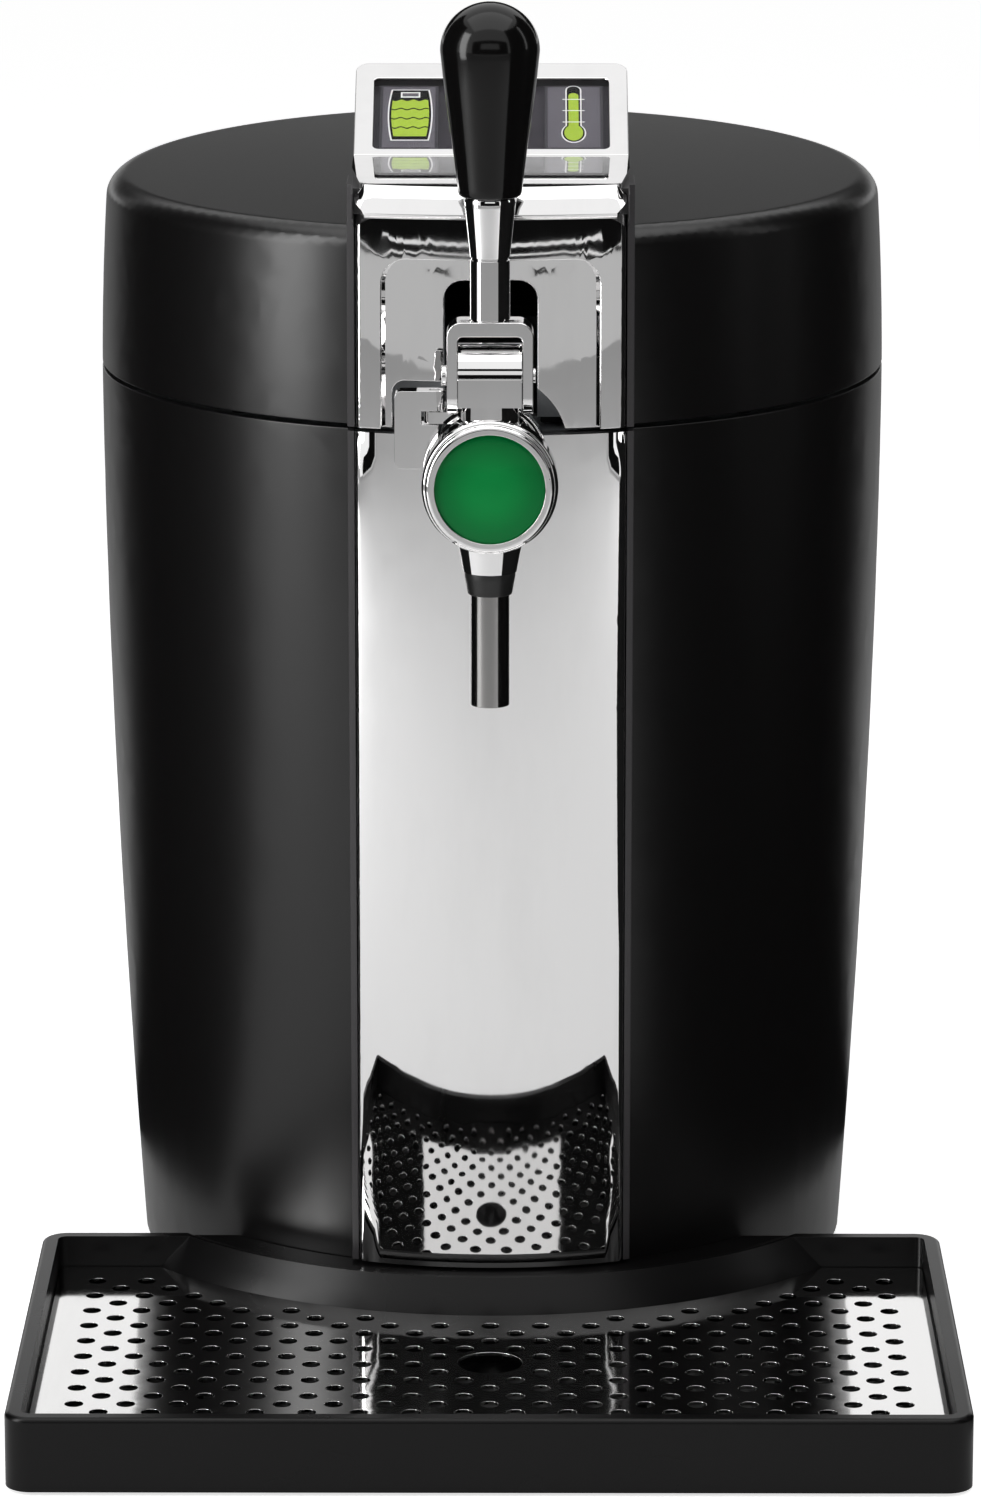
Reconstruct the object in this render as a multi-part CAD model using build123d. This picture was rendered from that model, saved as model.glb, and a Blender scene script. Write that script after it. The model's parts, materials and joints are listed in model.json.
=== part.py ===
"""Cooled dispenser for a 5 litre keg: barrel body, hinged lid with a display, tap and drip tray.

Millimetres, +Z up, front towards -Y. Everything is drawn round the keg's own axis (X = Y = 0 there)
and is moved by AXIS_Y when it is written, so that the origin lies on the table, in the middle of the
footprint's box.
"""
from build123d import *
import math
import os

# ---------------------------------------------------------------- clearances
SLIP = 0.3            # between neighbouring pieces that do not touch
RUNNING = 0.05        # radial, shaft in hole
OVERSHOOT = 1.0       # how far a cutting tool runs past the face that it cuts

# ---------------------------------------------------------------- keg and well
KEG_R = 86.0
KEG_HEIGHT = 250.0
KEG_PLAY = 2.0
WELL_WALL = 1.5
WELL_FLOOR_Z = 36.0
WELL_FLANGE_WIDTH = 5.0
WELL_R = KEG_R + KEG_PLAY
WELL_OUTER_R = WELL_R + WELL_WALL

# ---------------------------------------------------------------- barrel body
HEAD_ROOM = 6.0       # from the top of the keg to the seam
SEAM_Z = WELL_FLOOR_Z + KEG_HEIGHT + HEAD_ROOM
SEAM_GAP = 1.3
LID_HEIGHT = 61.5
LID_BASE_Z = SEAM_Z + SEAM_GAP
LID_TOP_Z = SEAM_Z + LID_HEIGHT
SEAM_R = 125.5
FOOT_R = 114.5
LID_TOP_R = 123.1
TAPER_POWER = 1.75
REAR_STRETCH = 1.2    # the rear half of the plan is an ellipse
SHELL_WALL = 3.0
SHELL_FIT = SHELL_WALL + SLIP
LID_SHOULDER = 7.0
LID_STEP = 40.0       # longest stretch between two sections of the barrel
FEET_HEIGHT = 3.5
FEET_R = 7.0
FEET_SETBACK = 22.4   # from the body's foot to the middle of each pad

# ---------------------------------------------------------------- base, deck and insulation
PAN_THICKNESS = 3.0
PAN_SLOT = 4.0        # air slots under the cooler
PAN_SLOT_LENGTH = 30.0
PAN_SLOT_COUNT = 9
PAN_TOP_Z = FEET_HEIGHT + PAN_THICKNESS
POST_R = 5.0
POST_CIRCLE_R = 68.0
DECK_THICKNESS = 3.5
WELL_FLANGE_THICKNESS = 1.5
DECK_TOP_Z = SEAM_Z - WELL_FLANGE_THICKNESS - 1.0
WELL_TOP_Z = DECK_TOP_Z + WELL_FLANGE_THICKNESS
DECK_BASE_Z = DECK_TOP_Z - DECK_THICKNESS
SLEEVE_SETBACK = 19.5 # from the shell's outside to the insulation, for the tap's nut and its spanner
SLEEVE_R = SEAM_R - SLEEVE_SETBACK
BUFFER_R = 3.0
BUFFER_CIRCLE_R = SLEEVE_R + 4.0

# ---------------------------------------------------------------- chrome column and its trims
COLUMN_HALF = 41.5
TRIM_WIDTH = 2.2
COLUMN_PROUD = 5.0
COLUMN_SKIN = 1.6
COLUMN_EDGE_R = 2.4
TRIM_PROUD = 4.2

# ---------------------------------------------------------------- drip tray, its dock and its grille
TRAY_WIDTH = 286.0
TRAY_FRONT = 265.0    # reach in front of the keg's axis
TRAY_BACK = 84.0
TRAY_HEIGHT = 24.0
TRAY_FLOOR_Z = 4.0
TRAY_RIM = 5.0
TRAY_LEDGE = 3.0
TRAY_CORNER_R = 8.0
TRAY_RIM_R = 1.6
TRAY_POST_R = 3.0     # posts that carry the plate
TRAY_POST_PITCH = 45.0
PAD_HEIGHT = 1.2
PAD_R = 6.0
DOCK_R = 127.0
TRAY_ARC_R = DOCK_R + 1.0
ARC_LIP = 3.0         # width of the curved wall's top
ARC_SLOPE = 7.0       # how much wider that wall is at the grille
GRILLE_TOP_Z = 14.0
GRILLE_THICKNESS = 1.0
GRILLE_FIT = 0.5
HOLE_R = 2.8
HOLE_PITCH_X = 15.6
HOLE_PITCH_Y = 14.8
HOLE_EDGE = 4.5
HOLE_MARGIN = 1.5     # plate left between the finger hole and its neighbours
FINGER_HOLE_R = 10.0
TAP_REACH = 176.0     # tap's axis in front of the keg's axis
FINGER_HOLE_REACH = TAP_REACH + 8.0

# ---------------------------------------------------------------- tap
RING_Z = SEAM_Z - 5.0
RING_R = 20.3
RING_DEPTH = 11.0
RING_EDGE_R = 1.6
BADGE_RIM_R = 19.2
BADGE_R = 16.4
BADGE_RIM_DEPTH = 3.0
BADGE_RIM_EDGE_R = 1.4
BADGE_THICKNESS = 1.4
BARREL_R = 9.8
NOZZLE_TOP_R = 9.6
NOZZLE_LOW_R = 8.1
NOZZLE_TOP_Z = RING_Z - 19.0
NOZZLE_HEIGHT = 8.0
NOZZLE_NECK = 4.0     # how far the nozzle goes up round the barrel
NOZZLE_LOW_Z = NOZZLE_TOP_Z - NOZZLE_HEIGHT
SPOUT_R = 5.8
SPOUT_BORE_R = 4.8
SPOUT_LENGTH = 48.0
SPOUT_SEAT = 7.0      # how far the tube goes up into the nozzle
COLLAR_HEIGHT = 7.0
COLLAR_TOP_R = 7.6
COLLAR_LOW_R = 6.6
COLLAR_BAND = 1.5     # straight band at the collar's top
COLLAR_WAIST = 0.4
SHANK_R = 9.0
SHANK_INNER_R = 4.0
NUT_THICKNESS = 7.0
NUT_GAP = 4.5         # between the shell's inside and the nut
THREAD_END = 2.0      # length of shank behind the nut
SHANK_END = SEAM_R - SHELL_WALL - NUT_GAP - NUT_THICKNESS - THREAD_END
SHROUD_R = 17.0
SHROUD_TIP_R = 12.0
SHROUD_BAND = 6.0     # straight band at the shroud's seat
SHROUD_STEP = 2.0
SHROUD_SEAT = SEAM_R + COLUMN_PROUD + SLIP
SHROUD_GAP = 3.4      # between the shroud's tip and the tap's barrel
SHROUD_LENGTH = TAP_REACH - BARREL_R - SHROUD_GAP - SHROUD_SEAT
NUT_FLATS = 24.0
PIN_Z = RING_Z + 32.0
PIN_R = 2.2
SADDLE_HALF = 9.4
SADDLE_R = 9.8
SADDLE_DROP = 8.0     # from the pin to the foot of the saddle's square front
NECK_R = 8.6
CAM_CAVITY_HALF = 4.2
CAM_CAVITY_R = 7.6
CAM_R = 4.0
CAM_THROW = 3.0
CAM_LEAD_DEG = 20.0
PLUNGER_R = 3.0
PLUNGER_LENGTH = 15.0
PLUNGER_HEAD_R = 4.6
PLUNGER_HEAD = 1.6
PLUNGER_GAP = 0.3
SPRING_WIRE_R = 0.45
SPRING_TURNS = 4
SPRING_LENGTH = 8.0

# ---------------------------------------------------------------- handle
LEG_THICKNESS = 3.3
LEG_HALF = 5.6
LEG_DROP = 5.9
BRIDGE_RISE = 12.4    # underside of the yoke's bridge above the pin
BRIDGE_THICKNESS = 4.4
YOKE_CORNER_R = 4.5
PIN_HEAD = 1.6        # length of the pin's head
PIN_HEAD_RIM = 0.9    # how far the head stands out round the pin
PIN_END = 0.8
STEM_R = 5.95
STEM_STRAIGHT = 18.7
STEM_TOP_R = 7.75
STEM_CONE = 18.0
KNOB_LOW_R = 9.5
KNOB_R = 14.65
KNOB_LENGTH = 57.5
KNOB_DOME = 14.2      # height of the rounded top above the widest place
KNOB_FOOT = 1.4       # bevel at the foot

# ---------------------------------------------------------------- latch beside the tap
LATCH_PIN_X = -16.5
LATCH_PIN_REACH = TAP_REACH - 8.0
LATCH_PIN_R = 1.5
LATCH_HALF_DEPTH = 3.2
LATCH_EYE_HEIGHT = 6.0
LATCH_OUT = 12.0
LATCH_DROP = 17.5
LATCH_WIDTH = 13.0
LATCH_CORNER_R = 2.0
LATCH_WEB_GAP = 0.8    # between the latch's web and the lug's round end
LUG_Z = RING_Z + 20.0
LUG_HEIGHT = 3.5

# ---------------------------------------------------------------- lid panel and its cut-outs
PANEL_BACK = 0.3
RECESS_HALF = 33.4
RECESS_DROP = 8.0     # from the lid's top to the recess
RECESS_TOP_Z = LID_TOP_Z - RECESS_DROP
RECESS_CORNER_R = 8.0
RECESS_FLOOR = 1.8    # thickness left behind the recess
SLOT_HALF = 14.25
SLOT_DROP = 6.5       # from the recess to the slot inside it
SLOT_TOP_Z = RECESS_TOP_Z - SLOT_DROP
SLOT_CORNER_R = 6.0
SLOT_RING_R = 23.5
LATCH_BAY_X = -30.0
LATCH_BAY_TOP_Z = SEAM_Z + 16.0
LATCH_BAY_CORNER_R = 4.0

# ---------------------------------------------------------------- lid lining
LINER_THICKNESS = 2.0
LINER_CUP_HEIGHT = 38.0
LINER_CUP_R = 90.0
LINE_REACH = 53.0     # where the beer line's slot ends, in front of the keg's axis
GASKET_INNER_R = 97.0
GASKET_WIDTH = 4.0
GASKET_HEIGHT = 3.0

# ---------------------------------------------------------------- console on the lid
CONSOLE_HALF = COLUMN_HALF + TRIM_WIDTH
CONSOLE_WALL = 2.5
HOOD_DEPTH = 7.0      # thickness of the hood behind the display
SHELF_BACK = 94.0     # reach of the shelf's rear edge
SHELF_BACK_Z = LID_TOP_Z + 19.0
SHELF_FRONT_Z = SHELF_BACK_Z - 3.3
SHELF_THICKNESS = 1.8
SHELF_HALF = 38.0     # at its front; at its back it is as wide as the display
SHELF_TAPER = 28.0    # depth of the part that narrows
LIP_HALF = 41.0
LIP_OVERHANG = 12.0   # in front of the column's face
LIP_REACH = SEAM_R + COLUMN_PROUD + LIP_OVERHANG
LIP_HEIGHT = 9.6
LIP_BOW_R = 200.0     # plan radius of the lip's front
LIP_DEPTH = LIP_OVERHANG + 0.5
LIP_ROUND = 3.0
SHELF_FRONT = LIP_REACH - 1.5 * LIP_ROUND
DISPLAY_LEAN_DEG = 62.4
DISPLAY_LENGTH = 48.5
DISPLAY_HALF = 42.2
DISPLAY_CORNER_R = 4.3
BEZEL_THICKNESS = 1.8
WINDOW_HALF = 36.4
WINDOW_LOW = 3.4
WINDOW_HIGH = 40.5
WINDOW_CORNER_R = 2.0
REBATE = 1.0
GLASS_THICKNESS = 1.0
GAUGE_THICKNESS = 1.6
GAUGE_HALF = 9.0
GAUGE_LENGTH = 33.6
GAUGE_X = 25.5
BOARD_THICKNESS = 1.6
CONSOLE_TAIL = 18.0   # reach of the console's rear foot, in front of the keg's axis

# ---------------------------------------------------------------- hinge at the rear
HINGE_STAND_OFF = 3.4
HINGE_Y = SEAM_R * REAR_STRETCH + HINGE_STAND_OFF
HINGE_Z = SEAM_Z
KNUCKLE_R = 4.5
KNUCKLE_ROOT = 4.0    # how far a knuckle's arm goes into its leaf
HINGE_PIN_R = 2.0
HINGE_HALF = 34.0
KNUCKLE_SPLIT = 21.7
LEAF_HEIGHT = 22.0
LEAF_DEPTH = 7.0

# ---------------------------------------------------------------- cooling stack at the rear
COOLER_Z = 150.0
COLD_HALF = 28.0
COLD_DEPTH = 7.0
COLD_Y = WELL_OUTER_R + SLIP
PELTIER_HALF = 20.0
PELTIER_THICKNESS = 3.6
SINK_HALF = 28.0
SINK_BASE = 4.0
SINK_FIN = 12.0
SINK_FIN_THICKNESS = 1.4
SINK_FIN_COUNT = 11
FAN_HALF = 25.0
FAN_DEPTH = 11.0
FAN_BORE_R = 23.2
FAN_TIP_R = 22.4
FAN_HUB_R = 9.0
FAN_BLADES = 7
FAN_BLADE_DEG = 35.0
FAN_BLADE_THICKNESS = 1.2
FAN_SHAFT_R = 1.5
FAN_SPOKE = 1.5       # thickness of the spokes that carry the shaft
FAN_SPOKE_HALF = 1.2
VENT_HALF = 33.0
VENT_HEIGHT = 84.0
VENT_SLOT = 4.2
VENT_PITCH = 8.0
PELTIER_Y = COLD_Y + COLD_DEPTH
SINK_Y = PELTIER_Y + PELTIER_THICKNESS
FAN_Y = SINK_Y + SINK_BASE + SINK_FIN

# ---------------------------------------------------------------- service bay low at the rear
BAY_HALF = 35.0
BAY_LOW_Z = 13.0
BAY_HIGH_Z = 43.0
BAY_FACE_Y = 126.5
BAY_PLATE = 2.5
BAY_COLLAR = 2.5
INLET_X = -17.0
INLET_HALF = 13.5
INLET_HALF_HEIGHT = 10.0
INLET_WALL = 2.0
INLET_DEPTH = 22.0
INLET_FLANGE = 2.0
SOCKET_DEPTH = 17.0
BLADE_LENGTH = 11.0
BLADE_HALF_WIDTH = 1.0
BLADE_HALF_HEIGHT = 2.0
BLADE_PITCH = 7.0
BLADE_RISE = 3.0
SWITCH_X = 19.0
SWITCH_HALF = 7.0
SWITCH_HALF_HEIGHT = 10.5
SWITCH_WALL = 1.6
SWITCH_RIM = 1.5
SWITCH_DEPTH = 16.0
ROCKER_R = 11.0
ROCKER_PROUD = 2.4
ROCKER_TILT_DEG = 10.0
ROCKER_BACK = 2.5
ROCKER_DISH = 1.6
ROCKER_PIN_R = 1.2
BAY_MID_Z = (BAY_LOW_Z + BAY_HIGH_Z) / 2

# ---------------------------------------------------------------- electronics under the well
MAIN_BOARD_HALF_X = 42.0
MAIN_BOARD_HALF_Y = 34.0
MAIN_BOARD_Z = PAN_TOP_Z + 5.0
STANDOFF_R = 2.5
STANDOFF_INSET = 5.0
TRANSFORMER = (26.0, 26.0, 17.0)
TRANSFORMER_AT = (-17.0, -5.0)
CAPACITOR_R = 5.0
CAPACITOR_HEIGHT = 16.0
CAPACITOR_Y = -14.0
CAPACITOR_X = (10.0, 23.0)
REGULATOR = (18.0, 6.0, 15.0)
REGULATOR_AT = (17.0, 9.0)
TERMINALS = (30.0, 10.0, 9.0)
TERMINALS_AT = (-15.0, 23.0)

# ---------------------------------------------------------------- screws
SCREW_R = 1.5
SCREW_HEAD_R = 2.8
SCREW_HEAD = 1.8
SCREW_LENGTH = 9.0
LEAF_SCREW_X = (-12.0, 12.0)
LEAF_SCREW_SINK = 2.2 # depth of the heads' seats in the leaf

REAR_REACH = HINGE_Y + KNUCKLE_R
AXIS_Y = (TRAY_FRONT - REAR_REACH) / 2


# ================================================================ shared shapes
def barrel_radius(z):
    """Front radius of the barrel's outside at a height."""
    if z <= SEAM_Z:
        return SEAM_R - (SEAM_R - FOOT_R) * ((SEAM_Z - z) / SEAM_Z) ** TAPER_POWER
    rise = (z - SEAM_Z) / (LID_TOP_Z - SEAM_Z)
    return SEAM_R - (SEAM_R - LID_TOP_R) * rise ** TAPER_POWER


def barrel_section(z, grow):
    """Half circle in front and half ellipse behind, grown outwards all round."""
    front_r = barrel_radius(z) + grow
    rear_r = barrel_radius(z) * REAR_STRETCH + grow
    front = CenterArc((0, 0), front_r, 180, 180)
    rear = EllipticalCenterArc((0, 0), front_r, rear_r, 0, arc_size=180)
    return Pos(0, 0, z) * make_face(front + rear)


def barrel(low_z, high_z, grow=0.0):
    """Solid of the barrel's form between two heights."""
    steps = max(2, math.ceil((high_z - low_z) / LID_STEP))
    heights = [low_z + (high_z - low_z) * i / steps for i in range(steps + 1)]
    return loft([barrel_section(z, grow) for z in heights])


def block(x0, x1, y0, y1, z0, z1):
    """Box between two corners."""
    return Pos((x0 + x1) / 2, (y0 + y1) / 2, (z0 + z1) / 2) * Box(abs(x1 - x0), abs(y1 - y0), abs(z1 - z0))


def post(radius, low_z, high_z, x=0.0, y=0.0):
    """Upright cylinder."""
    return Pos(x, y, (low_z + high_z) / 2) * Cylinder(radius, high_z - low_z)


def rod_y(radius, y0, y1, x=0.0, z=0.0):
    """Cylinder that lies along Y."""
    return Pos(x, (y0 + y1) / 2, z) * Rot(90, 0, 0) * Cylinder(radius, abs(y1 - y0))


def rod_x(radius, x0, x1, y=0.0, z=0.0):
    """Cylinder that lies along X."""
    return Pos((x0 + x1) / 2, y, z) * Rot(0, 90, 0) * Cylinder(radius, abs(x1 - x0))


def turned(points, x=0.0, y=0.0):
    """Body of revolution about an upright axis, from (radius, height) points."""
    face = make_face(Plane.XZ * Polyline(*points, close=True))
    return Pos(x, y, 0) * revolve(face, Axis.Z)


def facing_prism(sketch, y0, y1):
    """Prism along Y of a sketch that is drawn in X and Z."""
    return Pos(0, y1, 0) * extrude(Plane.XZ * sketch, y1 - y0, dir=(0, -1, 0))


def side_prism(points, x0, x1):
    """Prism along X of an outline that is given as (y, z) points."""
    face = make_face(Plane.YZ * Polyline(*points, close=True))
    return Pos(x0, 0, 0) * extrude(face, x1 - x0, dir=(1, 0, 0))


def around_z(count, radius, start_deg=0.0):
    """Points evenly spaced on a circle about the keg's axis."""
    turn = 2 * math.pi / count
    start = math.radians(start_deg)
    return [(radius * math.cos(start + i * turn), radius * math.sin(start + i * turn)) for i in range(count)]


# ================================================================ cutting tools that several pieces share
def tap_opening(grow=0.0):
    """What the tap, its latch and the beer line need through the lid's front; drawn in X and Z."""
    slot_height = SLOT_TOP_Z - RING_Z
    slot = Pos(0, RING_Z + slot_height / 2) * RectangleRounded(
        2 * (SLOT_HALF + grow), slot_height + 2 * SLOT_CORNER_R + 2 * grow, SLOT_CORNER_R)
    slot = Pos(0, -SLOT_CORNER_R) * slot
    bay_width = -LATCH_BAY_X
    bay_height = LATCH_BAY_TOP_Z - RING_Z + LATCH_BAY_CORNER_R
    bay = Pos(LATCH_BAY_X + bay_width / 2, LATCH_BAY_TOP_Z - bay_height / 2) * RectangleRounded(
        bay_width + 2 * grow, bay_height + 2 * grow, LATCH_BAY_CORNER_R)
    ring = Pos(0, RING_Z) * Circle(SLOT_RING_R + grow)
    return slot + bay + ring


def tap_opening_cutter(reach_out, reach_in, grow=0.0):
    """Prism of the tap's opening above the seam, between two reaches in front of the keg's axis."""
    through = facing_prism(tap_opening(grow), -reach_out, -reach_in)
    return through & block(-SEAM_R, SEAM_R, -reach_out - 1, -reach_in + 1, SEAM_Z, LID_TOP_Z)


def beer_line_cutter(reach_out, reach_in, grow=0.0):
    """Plain slot behind the panel that lets the shank, its nut and the beer line through."""
    half = SLOT_HALF + grow
    return block(-half, half, -reach_out, -reach_in + grow, SEAM_Z - NUT_FLATS, SLOT_TOP_Z + grow)


def shank_passage():
    """Notch for the tap's shank in the top of the body's front."""
    room = SHANK_R + SLIP
    notch = rod_y(room, -2 * SEAM_R, -SLEEVE_R, 0, RING_Z)
    return notch + block(-room, room, -2 * SEAM_R, -SLEEVE_R, RING_Z, SEAM_Z + OVERSHOOT)


def leaf_window(low_z, high_z, grow=0.0):
    """Where a hinge leaf lies in the rear wall."""
    half = HINGE_HALF + grow
    return block(-half, half, SEAM_R / 2, REAR_REACH, low_z - grow, high_z + grow)


def column_slice(low_z, high_z, half):
    """Upright slab in front of the keg's axis that bounds the column's pieces."""
    return block(-half, half, -2 * SEAM_R, -SEAM_R / 2, low_z, high_z)


# ================================================================ body
def make_body_shell():
    shell = barrel(FEET_HEIGHT, SEAM_Z) - barrel(FEET_HEIGHT - OVERSHOOT, SEAM_Z + OVERSHOOT, -SHELL_WALL)
    vent_low = COOLER_Z - VENT_HEIGHT / 2
    vent_high = COOLER_Z + VENT_HEIGHT / 2
    shell -= block(-VENT_HALF, VENT_HALF, FAN_Y, REAR_REACH, vent_low, vent_high)
    shell -= block(-BAY_HALF, BAY_HALF, COLD_Y, REAR_REACH, BAY_LOW_Z, BAY_HIGH_Z)
    shell -= leaf_window(SEAM_Z - LEAF_HEIGHT, SEAM_Z + OVERSHOOT, SLIP)
    return shell - shank_passage()


def make_base_pan():
    pan = barrel(FEET_HEIGHT, PAN_TOP_Z, -SHELL_FIT)
    rim_top = PAN_TOP_Z + PAN_THICKNESS
    rim = barrel(PAN_TOP_Z, rim_top, -SHELL_FIT)
    rim -= barrel(PAN_TOP_Z - 1, rim_top + 1, -SHELL_FIT - PAN_THICKNESS)
    gap_half = BAY_HALF + BAY_COLLAR + 1
    pan += rim - block(-gap_half, gap_half, COLD_Y, REAR_REACH, PAN_TOP_Z, rim_top + 1)
    for x, y in around_z(4, POST_CIRCLE_R, 45):
        pan += post(POST_R, PAN_TOP_Z, WELL_FLOOR_Z - WELL_WALL, x, y)
        pan -= post(SCREW_R + RUNNING, FEET_HEIGHT, FEET_HEIGHT + SCREW_LENGTH, x, y)
    for x in (-1, 1):
        for y in (-1, 1):
            pan += post(STANDOFF_R, PAN_TOP_Z, MAIN_BOARD_Z, x * (MAIN_BOARD_HALF_X - STANDOFF_INSET),
                        y * (MAIN_BOARD_HALF_Y - STANDOFF_INSET))
    spots = GridLocations(2 * PAN_SLOT, 1, PAN_SLOT_COUNT, 1)
    slots = Sketch() + [spot * Rectangle(PAN_SLOT, PAN_SLOT_LENGTH) for spot in spots]
    return pan - Pos(0, POST_CIRCLE_R + 2, FEET_HEIGHT) * extrude(slots, PAN_THICKNESS)


def make_feet():
    spots = around_z(5, FOOT_R - FEET_SETBACK, 90)
    return Compound([post(FEET_R, 0, FEET_HEIGHT, x, y) for x, y in spots])


def make_tray_dock():
    """Curved block in front of the shell's foot that the tray's arc pushes up to."""
    dock = post(DOCK_R, FEET_HEIGHT, TRAY_HEIGHT - 1) - barrel(FEET_HEIGHT - 1, TRAY_HEIGHT, SLIP)
    return dock & block(-DOCK_R, DOCK_R, -DOCK_R - 1, -TRAY_BACK, 0, TRAY_HEIGHT)


def make_keg_well():
    outer = post(WELL_OUTER_R, WELL_FLOOR_Z - WELL_WALL, WELL_TOP_Z)
    flange = post(WELL_OUTER_R + WELL_FLANGE_WIDTH, DECK_TOP_Z, WELL_TOP_Z)
    return outer + flange - post(WELL_R, WELL_FLOOR_Z, WELL_TOP_Z + OVERSHOOT)


def make_insulation_sleeve():
    low_z = WELL_FLOOR_Z - WELL_WALL
    sleeve = post(SLEEVE_R, low_z, DECK_BASE_Z) - post(COLD_Y, low_z - 1, DECK_BASE_Z + 1)
    room = SLIP + COLD_HALF
    return sleeve - block(-room, room, 0, 2 * SLEEVE_R, COOLER_Z - room, COOLER_Z + room)


def make_top_deck():
    deck = barrel(DECK_BASE_Z, DECK_TOP_Z, -SHELL_FIT) - post(COLD_Y, DECK_BASE_Z - 1, DECK_TOP_Z + 1)
    deck -= block(-SLOT_HALF, SLOT_HALF, -2 * SEAM_R, -SLEEVE_R, DECK_BASE_Z - 1, DECK_TOP_Z + 1)
    leaf = leaf_window(DECK_BASE_Z - 1, DECK_TOP_Z + 1, SLIP)
    return deck - (leaf - barrel(DECK_BASE_Z - 2, DECK_TOP_Z + 2, -LEAF_DEPTH - SLIP))


def make_lid_buffers():
    return Compound([post(BUFFER_R, DECK_TOP_Z, LID_BASE_Z - SLIP, x, y)
                     for x, y in around_z(4, BUFFER_CIRCLE_R, 45)])


def make_column_plate():
    low_z = TRAY_HEIGHT
    plate = barrel(low_z, SEAM_Z, COLUMN_PROUD) & column_slice(low_z, SEAM_Z, COLUMN_HALF)
    long_edges = plate.edges().filter_by(lambda e: e.length > SEAM_Z / 2).sort_by(Axis.Y)[:2]
    plate = fillet(long_edges, COLUMN_EDGE_R)
    plate -= barrel(low_z - 1, SEAM_Z + 1, SLIP)
    hollow = barrel(low_z - 1, SEAM_Z + 1, COLUMN_PROUD - COLUMN_SKIN)
    plate -= hollow & column_slice(low_z - 1, SEAM_Z + 1, COLUMN_HALF - COLUMN_SKIN)
    return plate - shank_passage()


def make_column_core():
    low_z = TRAY_HEIGHT
    core = barrel(low_z, SEAM_Z, COLUMN_PROUD - COLUMN_SKIN - SLIP) - barrel(low_z - 1, SEAM_Z + 1, SLIP)
    core &= column_slice(low_z, SEAM_Z, COLUMN_HALF - COLUMN_SKIN - SLIP)
    return core - shank_passage()


def make_column_trims():
    low_z = TRAY_HEIGHT
    both = barrel(low_z, SEAM_Z, TRIM_PROUD) - barrel(low_z - 1, SEAM_Z + 1, SLIP)
    both &= column_slice(low_z, SEAM_Z, COLUMN_HALF + TRIM_WIDTH)
    return both - column_slice(low_z - 1, SEAM_Z + 1, COLUMN_HALF + SLIP / 2)


# ================================================================ drip tray
def tray_outline(inset):
    """Rounded rectangle of the tray, set in from its outside."""
    width = TRAY_WIDTH - 2 * inset
    depth = TRAY_FRONT - TRAY_BACK - 2 * inset
    corner = max(TRAY_CORNER_R - inset, 1.0)
    return Pos(0, -(TRAY_FRONT + TRAY_BACK) / 2) * RectangleRounded(width, depth, corner)


def make_drip_tray():
    outer = extrude(tray_outline(0), TRAY_HEIGHT - PAD_HEIGHT)
    outer = Pos(0, 0, PAD_HEIGHT) * outer - post(TRAY_ARC_R, 0, TRAY_HEIGHT + 1)
    rim_edges = outer.edges().group_by(Axis.Z)[-1]
    outer = fillet(rim_edges, TRAY_RIM_R)
    ledge_z = GRILLE_TOP_Z - GRILLE_THICKNESS
    arc_top_r = TRAY_ARC_R + ARC_LIP
    arc_foot_r = arc_top_r + ARC_SLOPE
    upper = Pos(0, 0, ledge_z) * extrude(tray_outline(TRAY_RIM), TRAY_HEIGHT - ledge_z + 1)
    upper -= post(arc_foot_r, ledge_z - 1, GRILLE_TOP_Z)
    slope_height = TRAY_HEIGHT - GRILLE_TOP_Z
    upper -= Pos(0, 0, GRILLE_TOP_Z + slope_height / 2) * Cone(arc_foot_r, arc_top_r, slope_height)
    upper -= post(arc_top_r, TRAY_HEIGHT - 1, TRAY_HEIGHT + 2)
    lower = Pos(0, 0, TRAY_FLOOR_Z) * extrude(tray_outline(TRAY_RIM + TRAY_LEDGE), ledge_z - TRAY_FLOOR_Z + 1)
    lower -= post(arc_foot_r + TRAY_LEDGE, 0, TRAY_HEIGHT)
    tray = outer - upper - lower
    for x in (-2, -1, 1, 2):
        tray += post(TRAY_POST_R, TRAY_FLOOR_Z - 1, ledge_z, x * TRAY_POST_PITCH, -(TRAY_FRONT + DOCK_R) / 2)
    return tray


def make_tray_pads():
    spots = [(x * (TRAY_WIDTH / 2 - 16), -y) for x in (-1, 1) for y in (TRAY_FRONT - 16, TRAY_BACK + 16)]
    return Compound([post(PAD_R, 0, PAD_HEIGHT, x, y) for x, y in spots])


def grille_hole_spots():
    """Two staggered grids of holes that keep clear of the plate's edges and of the finger hole."""
    half_width = TRAY_WIDTH / 2 - TRAY_RIM - GRILLE_FIT - HOLE_EDGE - HOLE_R
    front = TRAY_FRONT - TRAY_RIM - GRILLE_FIT - HOLE_EDGE - HOLE_R
    back = TRAY_BACK + TRAY_RIM + GRILLE_FIT + HOLE_EDGE + HOLE_R
    arc = TRAY_ARC_R + ARC_LIP + ARC_SLOPE + GRILLE_FIT + HOLE_EDGE + HOLE_R
    columns = int(half_width / HOLE_PITCH_X * 2)
    rows = int((front - back) / HOLE_PITCH_Y * 2)
    spots = []
    for row in range(rows + 1):
        for column in range(-columns, columns + 1):
            if (row + column) % 2:
                continue
            x = column * HOLE_PITCH_X / 2
            y = -front + row * HOLE_PITCH_Y / 2
            from_finger_hole = math.hypot(x, y + FINGER_HOLE_REACH)
            if math.hypot(x, y) > arc and from_finger_hole > FINGER_HOLE_R + HOLE_R + HOLE_MARGIN:
                spots.append((x, y))
    return spots


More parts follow.
